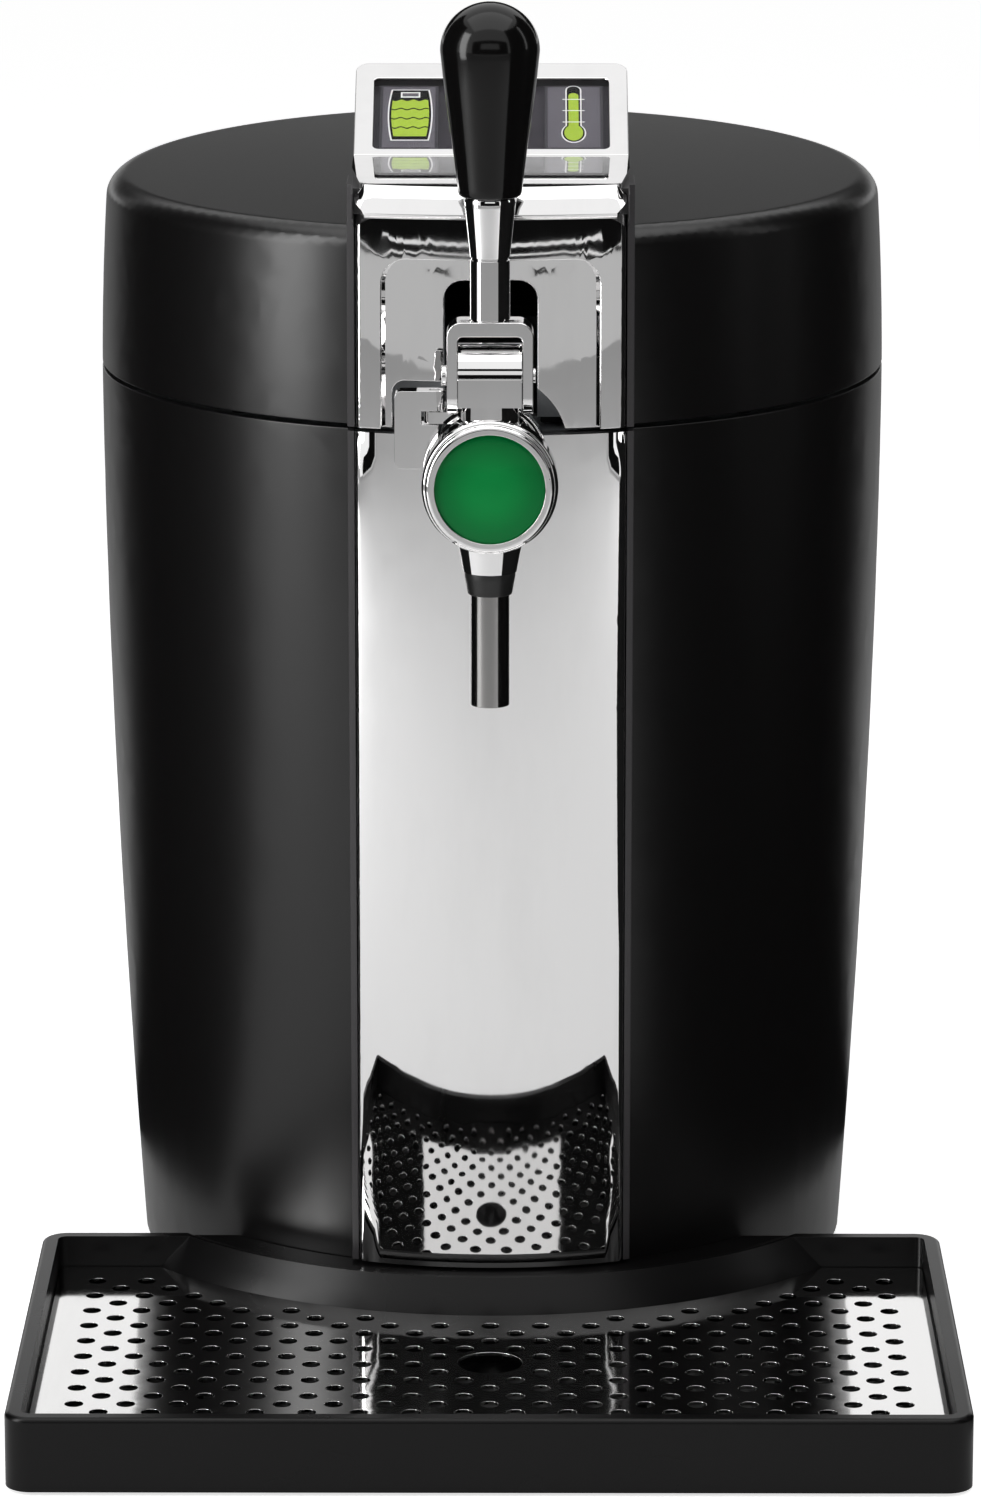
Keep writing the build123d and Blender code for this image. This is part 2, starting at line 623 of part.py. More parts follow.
def make_drip_grille():
    plate = tray_outline(TRAY_RIM + GRILLE_FIT)
    plate -= Circle(TRAY_ARC_R + ARC_LIP + ARC_SLOPE + GRILLE_FIT)
    plate -= Pos(0, -FINGER_HOLE_REACH) * Circle(FINGER_HOLE_R)
    plate -= [Pos(x, y) * Circle(HOLE_R) for x, y in grille_hole_spots()]
    return Pos(0, 0, GRILLE_TOP_Z - GRILLE_THICKNESS) * extrude(plate, GRILLE_THICKNESS)


# ================================================================ tap
def make_tap_body():
    axis = -TAP_REACH
    ring_front = axis - RING_DEPTH + 1
    ring_back = axis + 1
    body = rod_y(RING_R, ring_front, ring_back, 0, RING_Z)
    body = fillet(body.edges().filter_by(GeomType.CIRCLE), RING_EDGE_R)
    body += post(BARREL_R, NOZZLE_TOP_Z + 1, RING_Z + RING_R - 2, 0, axis)
    body += turned([(0, NOZZLE_LOW_Z), (NOZZLE_LOW_R, NOZZLE_LOW_Z), (NOZZLE_TOP_R, NOZZLE_TOP_Z),
                    (NOZZLE_TOP_R, NOZZLE_TOP_Z + NOZZLE_NECK), (0, NOZZLE_TOP_Z + NOZZLE_NECK)], 0, axis)
    saddle = rod_x(SADDLE_R, -SADDLE_HALF, SADDLE_HALF, axis, PIN_Z)
    saddle += block(-SADDLE_HALF, SADDLE_HALF, axis - SADDLE_R, axis + SADDLE_R, PIN_Z - SADDLE_DROP, PIN_Z)
    body += saddle + post(NECK_R, RING_Z, PIN_Z, 0, axis)
    body += rod_y(SHANK_R, axis, -SHANK_END, 0, RING_Z)
    lug_reach = -LATCH_PIN_REACH
    body += block(LATCH_PIN_X, 0, lug_reach - LATCH_HALF_DEPTH, lug_reach + LATCH_HALF_DEPTH,
                  LUG_Z - LUG_HEIGHT, LUG_Z)
    body += post(LATCH_HALF_DEPTH, LUG_Z - LUG_HEIGHT, LUG_Z, LATCH_PIN_X, lug_reach)
    body -= post(LATCH_PIN_R, LUG_Z - LUG_HEIGHT - 1, LUG_Z + 1, LATCH_PIN_X, lug_reach)
    body -= rod_x(PIN_R + RUNNING, -2 * SADDLE_HALF, 2 * SADDLE_HALF, axis, PIN_Z)
    body -= rod_x(CAM_CAVITY_R, -CAM_CAVITY_HALF, CAM_CAVITY_HALF, axis, PIN_Z)
    body -= post(PLUNGER_HEAD_R + SLIP, spring_low_z(), PIN_Z, 0, axis)
    body -= post(PLUNGER_R + RUNNING, RING_Z - SHANK_INNER_R, PIN_Z, 0, axis)
    body -= rod_y(SHANK_INNER_R, axis, -SHANK_END + 1, 0, RING_Z)
    body -= post(SHANK_INNER_R, NOZZLE_LOW_Z - 1, RING_Z, 0, axis)
    body -= post(SPOUT_R, NOZZLE_LOW_Z - 1, NOZZLE_LOW_Z + SPOUT_SEAT, 0, axis)
    return body


def plunger_top_z():
    """Top of the pinch plunger under the cam at rest."""
    return PIN_Z - CAM_R - CAM_THROW * math.cos(math.radians(CAM_LEAD_DEG)) - PLUNGER_GAP


def spring_low_z():
    """Seat of the plunger's spring."""
    return plunger_top_z() - PLUNGER_HEAD - SPRING_LENGTH


def make_valve_plunger():
    top = plunger_top_z()
    rod = post(PLUNGER_R, top - PLUNGER_LENGTH, top, 0, -TAP_REACH)
    return rod + post(PLUNGER_HEAD_R, top - PLUNGER_HEAD, top, 0, -TAP_REACH)


def make_valve_spring():
    coil_r = PLUNGER_R + SLIP + SPRING_WIRE_R
    height = SPRING_LENGTH - 2 * SPRING_WIRE_R - SLIP
    path = Helix(height / SPRING_TURNS, height, coil_r)
    wire = sweep(Plane(path @ 0, z_dir=path % 0) * Circle(SPRING_WIRE_R), path)
    return Pos(0, -TAP_REACH, spring_low_z() + SPRING_WIRE_R + SLIP / 2) * wire


def make_badge_rim():
    front = -TAP_REACH - RING_DEPTH + 1
    rim = rod_y(BADGE_RIM_R, front - BADGE_RIM_DEPTH, front, 0, RING_Z)
    rim = fillet(rim.edges().filter_by(GeomType.CIRCLE).sort_by(Axis.Y)[0], BADGE_RIM_EDGE_R)
    return rim - rod_y(BADGE_R + RUNNING, front - BADGE_RIM_DEPTH - 1, front - BADGE_RIM_DEPTH / 2, 0, RING_Z)


def make_badge_disc():
    seat = -TAP_REACH - RING_DEPTH + 1 - BADGE_RIM_DEPTH / 2
    return rod_y(BADGE_R, seat - BADGE_THICKNESS, seat, 0, RING_Z)


def make_spout_collar():
    top = NOZZLE_LOW_Z
    low = top - COLLAR_HEIGHT
    waist_r = COLLAR_TOP_R - COLLAR_WAIST
    return turned([(SPOUT_R, low), (COLLAR_LOW_R, low), (waist_r, low + COLLAR_HEIGHT / 2),
                   (COLLAR_TOP_R, top - COLLAR_BAND), (COLLAR_TOP_R, top), (SPOUT_R, top)], 0, -TAP_REACH)


def make_spout_tube():
    top = NOZZLE_LOW_Z + SPOUT_SEAT
    low = top - SPOUT_LENGTH
    return post(SPOUT_R, low, top, 0, -TAP_REACH) - post(SPOUT_BORE_R, low - 1, top + 1, 0, -TAP_REACH)


def make_shank_collar():
    """Tapered shroud round the tap's shank, seated on the column."""
    seat = SHROUD_SEAT
    bore = SHANK_R + RUNNING
    tip = seat + SHROUD_LENGTH
    outline = [(bore, seat), (SHROUD_R, seat), (SHROUD_R, seat + SHROUD_BAND),
               (SHROUD_R - SHROUD_STEP, seat + SHROUD_BAND + SHROUD_STEP), (SHROUD_TIP_R, tip), (bore, tip)]
    return Pos(0, 0, RING_Z) * Rot(90, 0, 0) * turned(outline)


def make_shank_nut():
    sketch = Pos(0, RING_Z) * RegularPolygon(NUT_FLATS / 2, 6, major_radius=False)
    back = -SHANK_END - THREAD_END
    nut = facing_prism(sketch, back - NUT_THICKNESS, back)
    return nut - rod_y(SHANK_R, back - NUT_THICKNESS - 1, back + 1, 0, RING_Z)


def make_latch_pin():
    top = LUG_Z + SLIP + LATCH_EYE_HEIGHT
    return post(LATCH_PIN_R, LUG_Z - LUG_HEIGHT, top, LATCH_PIN_X, -LATCH_PIN_REACH)


def make_tap_latch():
    """Lever with an eye on the upright pin and a thumb tab that hangs beside the ring."""
    y0 = -LATCH_PIN_REACH - LATCH_HALF_DEPTH
    y1 = -LATCH_PIN_REACH + LATCH_HALF_DEPTH
    low = LUG_Z + SLIP
    high = low + LATCH_EYE_HEIGHT
    outer_x = LATCH_PIN_X - LATCH_OUT
    web_x = LATCH_PIN_X - LATCH_HALF_DEPTH - LATCH_WEB_GAP
    latch = post(LATCH_HALF_DEPTH, low, high, LATCH_PIN_X, -LATCH_PIN_REACH)
    latch += block(outer_x, LATCH_PIN_X, y0, y1, low, high)
    tab_low = high - LATCH_DROP - LATCH_EYE_HEIGHT
    tab_top = LUG_Z - LUG_HEIGHT - SLIP
    latch += block(outer_x, web_x, y0, y1, tab_low, high)
    latch += block(outer_x, outer_x + LATCH_WIDTH, y0, y1, tab_low, tab_top)
    corners = latch.edges().filter_by(Axis.Y).filter_by(lambda e: e.center().X < outer_x + 0.1)
    latch = fillet(corners, LATCH_CORNER_R)
    return latch - post(LATCH_PIN_R + RUNNING, tab_low - 1, high + 1, LATCH_PIN_X, -LATCH_PIN_REACH)


# ================================================================ handle
def make_yoke():
    axis = -TAP_REACH
    inner = SADDLE_HALF + SLIP / 2
    outer = inner + LEG_THICKNESS
    top = PIN_Z + BRIDGE_RISE + BRIDGE_THICKNESS
    front = Pos(0, (PIN_Z + top) / 2) * Rectangle(2 * outer, top - PIN_Z)
    front = fillet(front.vertices().sort_by(Axis.Y)[-2:], YOKE_CORNER_R)
    hole = Pos(0, (PIN_Z + top - BRIDGE_THICKNESS) / 2) * Rectangle(2 * inner, top - BRIDGE_THICKNESS - PIN_Z)
    hole = fillet(hole.vertices().sort_by(Axis.Y)[-2:], YOKE_CORNER_R / 3)
    arch = facing_prism(front - hole, axis - LEG_HALF, axis + LEG_HALF)
    leg = Pos(0, -LEG_DROP / 2) * SlotCenterToCenter(LEG_DROP, 2 * LEG_HALF, rotation=90)
    for side in (-1, 1):
        x0 = inner if side > 0 else -outer
        arch += Pos(x0, axis, PIN_Z) * extrude(Plane.YZ * leg, LEG_THICKNESS)
    return arch - rod_x(PIN_R, -2 * outer, 2 * outer, axis, PIN_Z)


def make_yoke_pin():
    outer = SADDLE_HALF + SLIP / 2 + LEG_THICKNESS
    pin = rod_x(PIN_R, -outer - PIN_HEAD, outer + PIN_END, -TAP_REACH, PIN_Z)
    return pin + rod_x(PIN_R + PIN_HEAD_RIM, -outer - PIN_HEAD, -outer, -TAP_REACH, PIN_Z)


def make_valve_cam():
    """Lobe on the pin that holds the plunger down while the handle is upright."""
    lead = math.radians(CAM_LEAD_DEG)
    lobe_y = CAM_THROW * math.sin(lead)
    lobe_z = -CAM_THROW * math.cos(lead)
    half = CAM_CAVITY_HALF - SLIP
    cam = rod_x(CAM_R, -half, half, -TAP_REACH, PIN_Z)
    cam += rod_x(CAM_R, -half, half, -TAP_REACH + lobe_y, PIN_Z + lobe_z)
    return cam - rod_x(PIN_R, -2 * half, 2 * half, -TAP_REACH, PIN_Z)


def stem_base_z():
    return PIN_Z + BRIDGE_RISE + BRIDGE_THICKNESS


def make_stem():
    low = stem_base_z()
    waist = low + STEM_STRAIGHT
    top = waist + STEM_CONE
    return turned([(0, low), (STEM_R, low), (STEM_R, waist), (STEM_TOP_R, top), (0, top)], 0, -TAP_REACH)


def make_knob():
    """Teardrop knob, narrow below and round on top."""
    low = stem_base_z() + STEM_STRAIGHT + STEM_CONE
    high = low + KNOB_LENGTH
    belly = high - KNOB_DOME
    swell = KNOB_R - KNOB_LOW_R
    side = Spline((KNOB_LOW_R, low + KNOB_FOOT), (KNOB_LOW_R + 0.37 * swell, low + 0.36 * (belly - low)),
                  (KNOB_LOW_R + 0.77 * swell, low + 0.68 * (belly - low)), (KNOB_R, belly),
                  tangents=((0.1, 1), (0, 1)))
    slant = math.sqrt(0.5)
    dome = Spline((KNOB_R, belly), (KNOB_R * slant, belly + KNOB_DOME * slant), (0, high),
                  tangents=((0, 1), (-1, 0)))
    base = Polyline((0, high), (0, low), (KNOB_LOW_R - KNOB_FOOT, low), (KNOB_LOW_R, low + KNOB_FOOT))
    return Pos(0, -TAP_REACH, 0) * revolve(make_face(Plane.XZ * (side + dome + base)), Axis.Z)


# ================================================================ lid
def make_lid_shell():
    outer = barrel(LID_BASE_Z, LID_TOP_Z)
    outer = fillet(outer.edges().group_by(Axis.Z)[-1], LID_SHOULDER)
    shell = outer - barrel(LID_BASE_Z - 1, LID_TOP_Z - SHELL_WALL, -SHELL_WALL)
    shell -= tap_opening_cutter(2 * SEAM_R, SLEEVE_R)
    return shell - leaf_window(LID_BASE_Z - OVERSHOOT, SEAM_Z + LEAF_HEIGHT, SLIP)


def make_lid_liner():
    flange = barrel(LID_BASE_Z, LID_BASE_Z + LINER_THICKNESS, -SHELL_FIT)
    cup_top = LID_BASE_Z + LINER_CUP_HEIGHT
    liner = flange + post(LINER_CUP_R + LINER_THICKNESS, LID_BASE_Z, cup_top + LINER_THICKNESS)
    tunnel = tap_opening_cutter(2 * SEAM_R, SLEEVE_R - LINER_THICKNESS, LINER_THICKNESS)
    tunnel += beer_line_cutter(SLEEVE_R + 1, LINE_REACH, LINER_THICKNESS)
    liner += tunnel & barrel(LID_BASE_Z, LID_TOP_Z - SHELL_WALL - SLIP, -SHELL_FIT - SLIP)
    liner -= post(LINER_CUP_R, LID_BASE_Z - 1, cup_top)
    liner -= tap_opening_cutter(2 * SEAM_R, SLEEVE_R)
    liner -= beer_line_cutter(SLEEVE_R + 1, LINE_REACH)
    return liner - leaf_window(LID_BASE_Z - 1, SEAM_Z + LEAF_HEIGHT, SLIP)


def make_lid_foam():
    low = LID_BASE_Z + LINER_THICKNESS
    foam = barrel(low, LID_TOP_Z - SHELL_WALL - SLIP, -SHELL_FIT)
    foam -= post(LINER_CUP_R + LINER_THICKNESS + SLIP, low - 1, low + LINER_CUP_HEIGHT + SLIP)
    foam -= tap_opening_cutter(2 * SEAM_R, SLEEVE_R - LINER_THICKNESS, LINER_THICKNESS + SLIP)
    foam -= beer_line_cutter(SLEEVE_R + 1, LINE_REACH, LINER_THICKNESS + SLIP)
    return foam - leaf_window(low - 1, SEAM_Z + LEAF_HEIGHT, SLIP)


def make_lid_gasket():
    low = LID_BASE_Z - GASKET_HEIGHT
    outer_r = GASKET_INNER_R + GASKET_WIDTH
    ring = post(outer_r, low, LID_BASE_Z) - post(GASKET_INNER_R, low - 1, LID_BASE_Z + 1)
    return ring - block(-SLOT_HALF - 1, SLOT_HALF + 1, -2 * outer_r, 0, low - 1, LID_BASE_Z + 1)


def panel_top_z():
    return SHELF_FRONT_Z - LIP_HEIGHT


def make_upper_panel():
    top = panel_top_z()
    panel = barrel(LID_BASE_Z, top, COLUMN_PROUD) & column_slice(LID_BASE_Z, top, COLUMN_HALF - SLIP)
    long_edges = panel.edges().filter_by(lambda e: e.length > LID_HEIGHT / 2)
    upright = long_edges.filter_by(lambda e: abs(e.center().X) > COLUMN_HALF - 1).sort_by(Axis.Y)[:2]
    panel = fillet(upright, COLUMN_EDGE_R)
    panel -= barrel(LID_BASE_Z - 1, top + 1, PANEL_BACK)
    recess_height = RECESS_TOP_Z - SEAM_Z + 2 * RECESS_CORNER_R
    recess = RectangleRounded(2 * RECESS_HALF, recess_height, RECESS_CORNER_R)
    recess = Pos(0, RECESS_TOP_Z - recess_height / 2) * recess
    pocket = facing_prism(recess, -2 * SEAM_R, 0) - barrel(SEAM_Z - 20, top + 5, PANEL_BACK + RECESS_FLOOR)
    panel -= pocket & block(-SEAM_R, SEAM_R, -2 * SEAM_R, -SEAM_R / 2, SEAM_Z, top)
    return panel - tap_opening_cutter(2 * SEAM_R, SLEEVE_R)


def display_plane(depth=0.0):
    """Leaning face of the display; X to the right, Y up the slope; depth is measured into the console."""
    lean = math.radians(DISPLAY_LEAN_DEG)
    normal = (0, -math.cos(lean), math.sin(lean))
    origin = (0, -SHELF_BACK - normal[1] * depth, SHELF_BACK_Z - normal[2] * depth)
    return Plane(origin=origin, x_dir=(1, 0, 0), z_dir=normal)


def display_point(along, depth):
    """(y, z) of a point of the display, from its distance up the slope and its depth."""
    spot = display_plane(depth).from_local_coords((0, along, 0))
    return spot.Y, spot.Z


def console_outline(inset):
    """Side view of the console's housing, as (y, z) points, set in from its outside."""
    top_front = display_point(DISPLAY_LENGTH - inset, BEZEL_THICKNESS + inset)
    top_back = display_point(DISPLAY_LENGTH - inset, BEZEL_THICKNESS + HOOD_DEPTH - inset)
    fold = display_point(0, BEZEL_THICKNESS + inset)
    foot_z = LID_TOP_Z
    return [(-barrel_radius(LID_TOP_Z) + LID_SHOULDER + inset, foot_z),
            (-SHELF_FRONT + inset, panel_top_z() + inset / 2),
            (-SHELF_FRONT + inset, SHELF_FRONT_Z - inset),
            (-SHELF_BACK, SHELF_BACK_Z - inset), fold, top_front, top_back, (-CONSOLE_TAIL - inset, foot_z)]


def shelf_band(low, high, back):
    """Side view of a layer parallel to the shelf, between two heights above its top face."""
    front = -LIP_REACH + LIP_ROUND
    return [(front, SHELF_FRONT_Z + low), (back, SHELF_BACK_Z + low), (back, SHELF_BACK_Z + high),
            (front, SHELF_FRONT_Z + high)]


def make_console_housing():
    """Dark moulding: cheeks beside the panel and the shelf, and the shell behind the display."""
    hood_half = DISPLAY_HALF - SLIP
    housing = side_prism(console_outline(0), -hood_half, hood_half)
    inner_half = hood_half - CONSOLE_WALL
    housing -= side_prism(console_outline(CONSOLE_WALL), -inner_half, inner_half)
    shelf_room = shelf_band(-SHELF_THICKNESS - SLIP, LIP_HEIGHT, -SHELF_BACK)
    housing -= side_prism(shelf_room, -CONSOLE_HALF, CONSOLE_HALF)
    board_room = Rectangle(2 * (WINDOW_HALF + REBATE), WINDOW_HIGH - WINDOW_LOW + 2 * REBATE)
    board_room = Pos(0, (WINDOW_LOW + WINDOW_HIGH) / 2) * board_room
    board_room = display_plane(BEZEL_THICKNESS + CONSOLE_WALL + 1) * board_room
    housing -= extrude(board_room, CONSOLE_WALL + 3)
    lip_back = -LIP_REACH + LIP_DEPTH + SLIP
    housing -= block(-COLUMN_HALF, COLUMN_HALF, -2 * SEAM_R, lip_back, panel_top_z(), SHELF_BACK_Z)
    panel_room = column_slice(LID_TOP_Z - 1, panel_top_z() + SLIP, COLUMN_HALF)
    housing -= panel_room - barrel(LID_TOP_Z - 2, SHELF_BACK_Z)
    cheeks = barrel(LID_BASE_Z, panel_top_z() + LIP_HEIGHT - 2, TRIM_PROUD) & column_slice(
        LID_BASE_Z, panel_top_z() + LIP_HEIGHT - 2, CONSOLE_HALF)
    cheeks -= barrel(LID_BASE_Z - 1, panel_top_z() + LIP_HEIGHT, SLIP) & block(
        -SEAM_R, SEAM_R, -2 * SEAM_R, 0, LID_BASE_Z - 2, LID_TOP_Z)
    cheeks &= block(-SEAM_R, SEAM_R, -2 * SEAM_R, -SHELF_BACK - 5, LID_BASE_Z - 2, LID_TOP_Z + 2 * LIP_HEIGHT)
    cheeks -= column_slice(LID_BASE_Z - 1, LID_TOP_Z + 30, COLUMN_HALF)
    return housing + cheeks


def make_shelf():
    """Chrome shelf in front of the display, with its drooping, gently bowed lip."""
    plate = side_prism(shelf_band(-SHELF_THICKNESS, 0, -SHELF_BACK - SLIP), -DISPLAY_HALF, DISPLAY_HALF)
    front, taper_back = -LIP_REACH, -LIP_REACH + LIP_ROUND + SHELF_TAPER
    plan = Polyline((-SHELF_HALF, front), (SHELF_HALF, front), (DISPLAY_HALF, taper_back), (DISPLAY_HALF, 0),
                    (-DISPLAY_HALF, 0), (-DISPLAY_HALF, taper_back), close=True)
    plate &= Pos(0, 0, SHELF_FRONT_Z - LIP_HEIGHT) * extrude(make_face(plan), 2 * LIP_HEIGHT)
    lip = side_prism([(-LIP_REACH - 5, SHELF_FRONT_Z), (-LIP_REACH + LIP_DEPTH, SHELF_FRONT_Z),
                      (-LIP_REACH + LIP_DEPTH, panel_top_z() + SLIP), (-LIP_REACH - 5, panel_top_z() + SLIP)],
                     -LIP_HALF, LIP_HALF)
    lip &= post(LIP_BOW_R, 0, 2 * SEAM_Z, 0, -LIP_REACH + LIP_BOW_R)
    lip = fillet(lip.edges().filter_by(Axis.Z).sort_by(Axis.Y)[:2], LIP_ROUND)
    front_low = lip.edges().group_by(Axis.Z)[0].filter_by(lambda e: e.center().Y < -LIP_REACH + 5)
    lip = fillet(front_low, 0.8 * LIP_ROUND)
    return plate + lip


def make_display_bezel():
    outer = Pos(0, DISPLAY_LENGTH / 2) * RectangleRounded(2 * DISPLAY_HALF, DISPLAY_LENGTH, DISPLAY_CORNER_R)
    outer += Pos(0, DISPLAY_CORNER_R) * Rectangle(2 * DISPLAY_HALF, 2 * DISPLAY_CORNER_R)
    window = Pos(0, (WINDOW_LOW + WINDOW_HIGH) / 2) * RectangleRounded(
        2 * WINDOW_HALF, WINDOW_HIGH - WINDOW_LOW, WINDOW_CORNER_R)
    plate = extrude(display_plane(BEZEL_THICKNESS) * (outer - window), BEZEL_THICKNESS)
    rebate = Pos(0, (WINDOW_LOW + WINDOW_HIGH) / 2) * Rectangle(
        2 * (WINDOW_HALF + REBATE), WINDOW_HIGH - WINDOW_LOW + 2 * REBATE)
    return plate - extrude(display_plane(BEZEL_THICKNESS + 1) * rebate, GLASS_THICKNESS + 1)


def make_display_window():
    pane = Pos(0, (WINDOW_LOW + WINDOW_HIGH) / 2) * Rectangle(
        2 * (WINDOW_HALF + REBATE - SLIP), WINDOW_HIGH - WINDOW_LOW + 2 * (REBATE - SLIP))
    return extrude(display_plane(BEZEL_THICKNESS) * pane, GLASS_THICKNESS)


def make_gauge(side):
    """Liquid crystal cell just behind the window."""
    cell = Pos(side * GAUGE_X, (WINDOW_LOW + WINDOW_HIGH) / 2) * Rectangle(2 * GAUGE_HALF, GAUGE_LENGTH)
    return extrude(display_plane(BEZEL_THICKNESS + GAUGE_THICKNESS) * cell, GAUGE_THICKNESS)


def make_display_board():
    board = Pos(0, (WINDOW_LOW + WINDOW_HIGH) / 2) * Rectangle(2 * WINDOW_HALF, WINDOW_HIGH - WINDOW_LOW)
    back = BEZEL_THICKNESS + GAUGE_THICKNESS + BOARD_THICKNESS
    return extrude(display_plane(back) * board, BOARD_THICKNESS)


# ================================================================ hinge
def knuckle_root_y():
    """Where the knuckles' arms start inside their leaves."""
    return HINGE_Y - KNUCKLE_R - KNUCKLE_ROOT


def make_hinge_base():
    """Leaf let into the body's rear wall, with two outer knuckles."""
    low = SEAM_Z - LEAF_HEIGHT
    leaf = barrel(low, SEAM_Z, 0) - barrel(low - 1, SEAM_Z + 1, -LEAF_DEPTH)
    leaf &= leaf_window(low, SEAM_Z)
    for side in (-1, 1):
        x0, x1 = sorted((side * (KNUCKLE_SPLIT + SLIP), side * HINGE_HALF))
        leaf += rod_x(KNUCKLE_R, x0, x1, HINGE_Y, HINGE_Z)
        leaf += block(x0, x1, knuckle_root_y(), HINGE_Y, HINGE_Z - 2 * KNUCKLE_R, HINGE_Z - SLIP)
        leaf -= rod_x(HINGE_PIN_R, x0 - 1, x1 + 1, HINGE_Y, HINGE_Z)
    seat, z = leaf_screw_seat(), leaf_screw_z()
    for x in LEAF_SCREW_X:
        leaf -= rod_y(SCREW_HEAD_R + RUNNING, seat, REAR_REACH, x, z)
        leaf -= rod_y(SCREW_R + RUNNING, seat - LEAF_DEPTH / 2, seat, x, z)
    return leaf - rod_x(KNUCKLE_R + SLIP, -KNUCKLE_SPLIT - SLIP, KNUCKLE_SPLIT + SLIP, HINGE_Y, HINGE_Z)


def make_lid_leaf():
    """Leaf let into the lid's rear wall, with the middle knuckle."""
    high = SEAM_Z + LEAF_HEIGHT
    leaf = barrel(LID_BASE_Z, high, 0) - barrel(LID_BASE_Z - 1, high + 1, -LEAF_DEPTH)
    leaf &= leaf_window(LID_BASE_Z, high)
    for side in (-1, 1):
        x0, x1 = sorted((side * KNUCKLE_SPLIT, side * (HINGE_HALF + 1)))
        leaf -= rod_x(KNUCKLE_R + SLIP, x0, x1, HINGE_Y, HINGE_Z)
    leaf += rod_x(KNUCKLE_R, -KNUCKLE_SPLIT, KNUCKLE_SPLIT, HINGE_Y, HINGE_Z)
    arm_top = HINGE_Z + 2 * KNUCKLE_R
    leaf += block(-KNUCKLE_SPLIT, KNUCKLE_SPLIT, knuckle_root_y(), HINGE_Y, LID_BASE_Z, arm_top)
    return leaf - rod_x(HINGE_PIN_R + RUNNING, -HINGE_HALF, HINGE_HALF, HINGE_Y, HINGE_Z)


def make_hinge_pin():
    return rod_x(HINGE_PIN_R, -HINGE_HALF, HINGE_HALF, HINGE_Y, HINGE_Z)


# ================================================================ cooling
def make_cold_block():
    block_end = COLD_Y + COLD_DEPTH
    cold = block(-COLD_HALF, COLD_HALF, COLD_Y * 0.9, block_end, COOLER_Z - COLD_HALF, COOLER_Z + COLD_HALF)
    return cold - post(COLD_Y - SLIP + RUNNING, 0, SEAM_Z)


def make_peltier_module():
    half = PELTIER_HALF
    return block(-half, half, PELTIER_Y, SINK_Y, COOLER_Z - half, COOLER_Z + half)


def make_heat_sink():
    low, high = COOLER_Z - SINK_HALF, COOLER_Z + SINK_HALF
    sink = block(-SINK_HALF, SINK_HALF, SINK_Y, SINK_Y + SINK_BASE, low, high)
    pitch = (2 * SINK_HALF - SINK_FIN_THICKNESS) / (SINK_FIN_COUNT - 1)
    for i in range(SINK_FIN_COUNT):
        x = -SINK_HALF + i * pitch
        sink += block(x, x + SINK_FIN_THICKNESS, SINK_Y + SINK_BASE, FAN_Y, low, high)
    return sink


def make_fan_frame():
    frame = block(-FAN_HALF, FAN_HALF, FAN_Y, FAN_Y + FAN_DEPTH, COOLER_Z - FAN_HALF, COOLER_Z + FAN_HALF)
    frame -= rod_y(FAN_BORE_R, FAN_Y - 1, FAN_Y + FAN_DEPTH + 1, 0, COOLER_Z)
    spoke_y = FAN_Y + FAN_SPOKE
    frame += rod_y(FAN_HUB_R, FAN_Y, spoke_y, 0, COOLER_Z)
    frame += block(-FAN_BORE_R - 1, FAN_BORE_R + 1, FAN_Y, spoke_y,
                   COOLER_Z - FAN_SPOKE_HALF, COOLER_Z + FAN_SPOKE_HALF)
    frame += block(-FAN_SPOKE_HALF, FAN_SPOKE_HALF, FAN_Y, spoke_y,
                   COOLER_Z - FAN_BORE_R - 1, COOLER_Z + FAN_BORE_R + 1)
    return frame + rod_y(FAN_SHAFT_R, spoke_y, FAN_Y + FAN_DEPTH - 2, 0, COOLER_Z)


def make_fan_rotor():
    y0 = FAN_Y + FAN_SPOKE + SLIP
    y1 = FAN_Y + FAN_DEPTH - 1
    rotor = rod_y(FAN_HUB_R, y0, y1, 0, 0)
    mid = (y0 + y1) / 2
    for i in range(FAN_BLADES):
        blade = Box(FAN_TIP_R - FAN_HUB_R + 1, FAN_BLADE_THICKNESS, FAN_DEPTH - FAN_SPOKE)
        blade = Rot(FAN_BLADE_DEG, 0, 0) * blade
        rotor += Rot(0, i * 360 / FAN_BLADES, 0) * Pos((FAN_HUB_R + FAN_TIP_R - 1) / 2, mid, 0) * blade
    rotor &= rod_y(FAN_TIP_R, y0, y1, 0, 0)
    rotor -= rod_y(FAN_SHAFT_R + RUNNING, y0 - 1, FAN_Y + FAN_DEPTH - 2 + RUNNING, 0, 0)
    return Pos(0, 0, COOLER_Z) * rotor


def make_rear_grille():
    low, high = COOLER_Z - VENT_HEIGHT / 2 + SLIP, COOLER_Z + VENT_HEIGHT / 2 - SLIP
    half = VENT_HALF - SLIP
    grille = barrel(low, high, 0) - barrel(low - 1, high + 1, -SHELL_WALL)
    grille &= block(-half, half, FAN_Y, REAR_REACH, low, high)
    count = int((high - low - 2 * VENT_SLOT) / VENT_PITCH) + 1
    start = COOLER_Z - (count - 1) * VENT_PITCH / 2
    for i in range(count):
        z = start + i * VENT_PITCH
        slot = Pos(0, z) * SlotOverall(2 * half - 10, VENT_SLOT)
        grille -= facing_prism(slot, FAN_Y, REAR_REACH)
    return grille


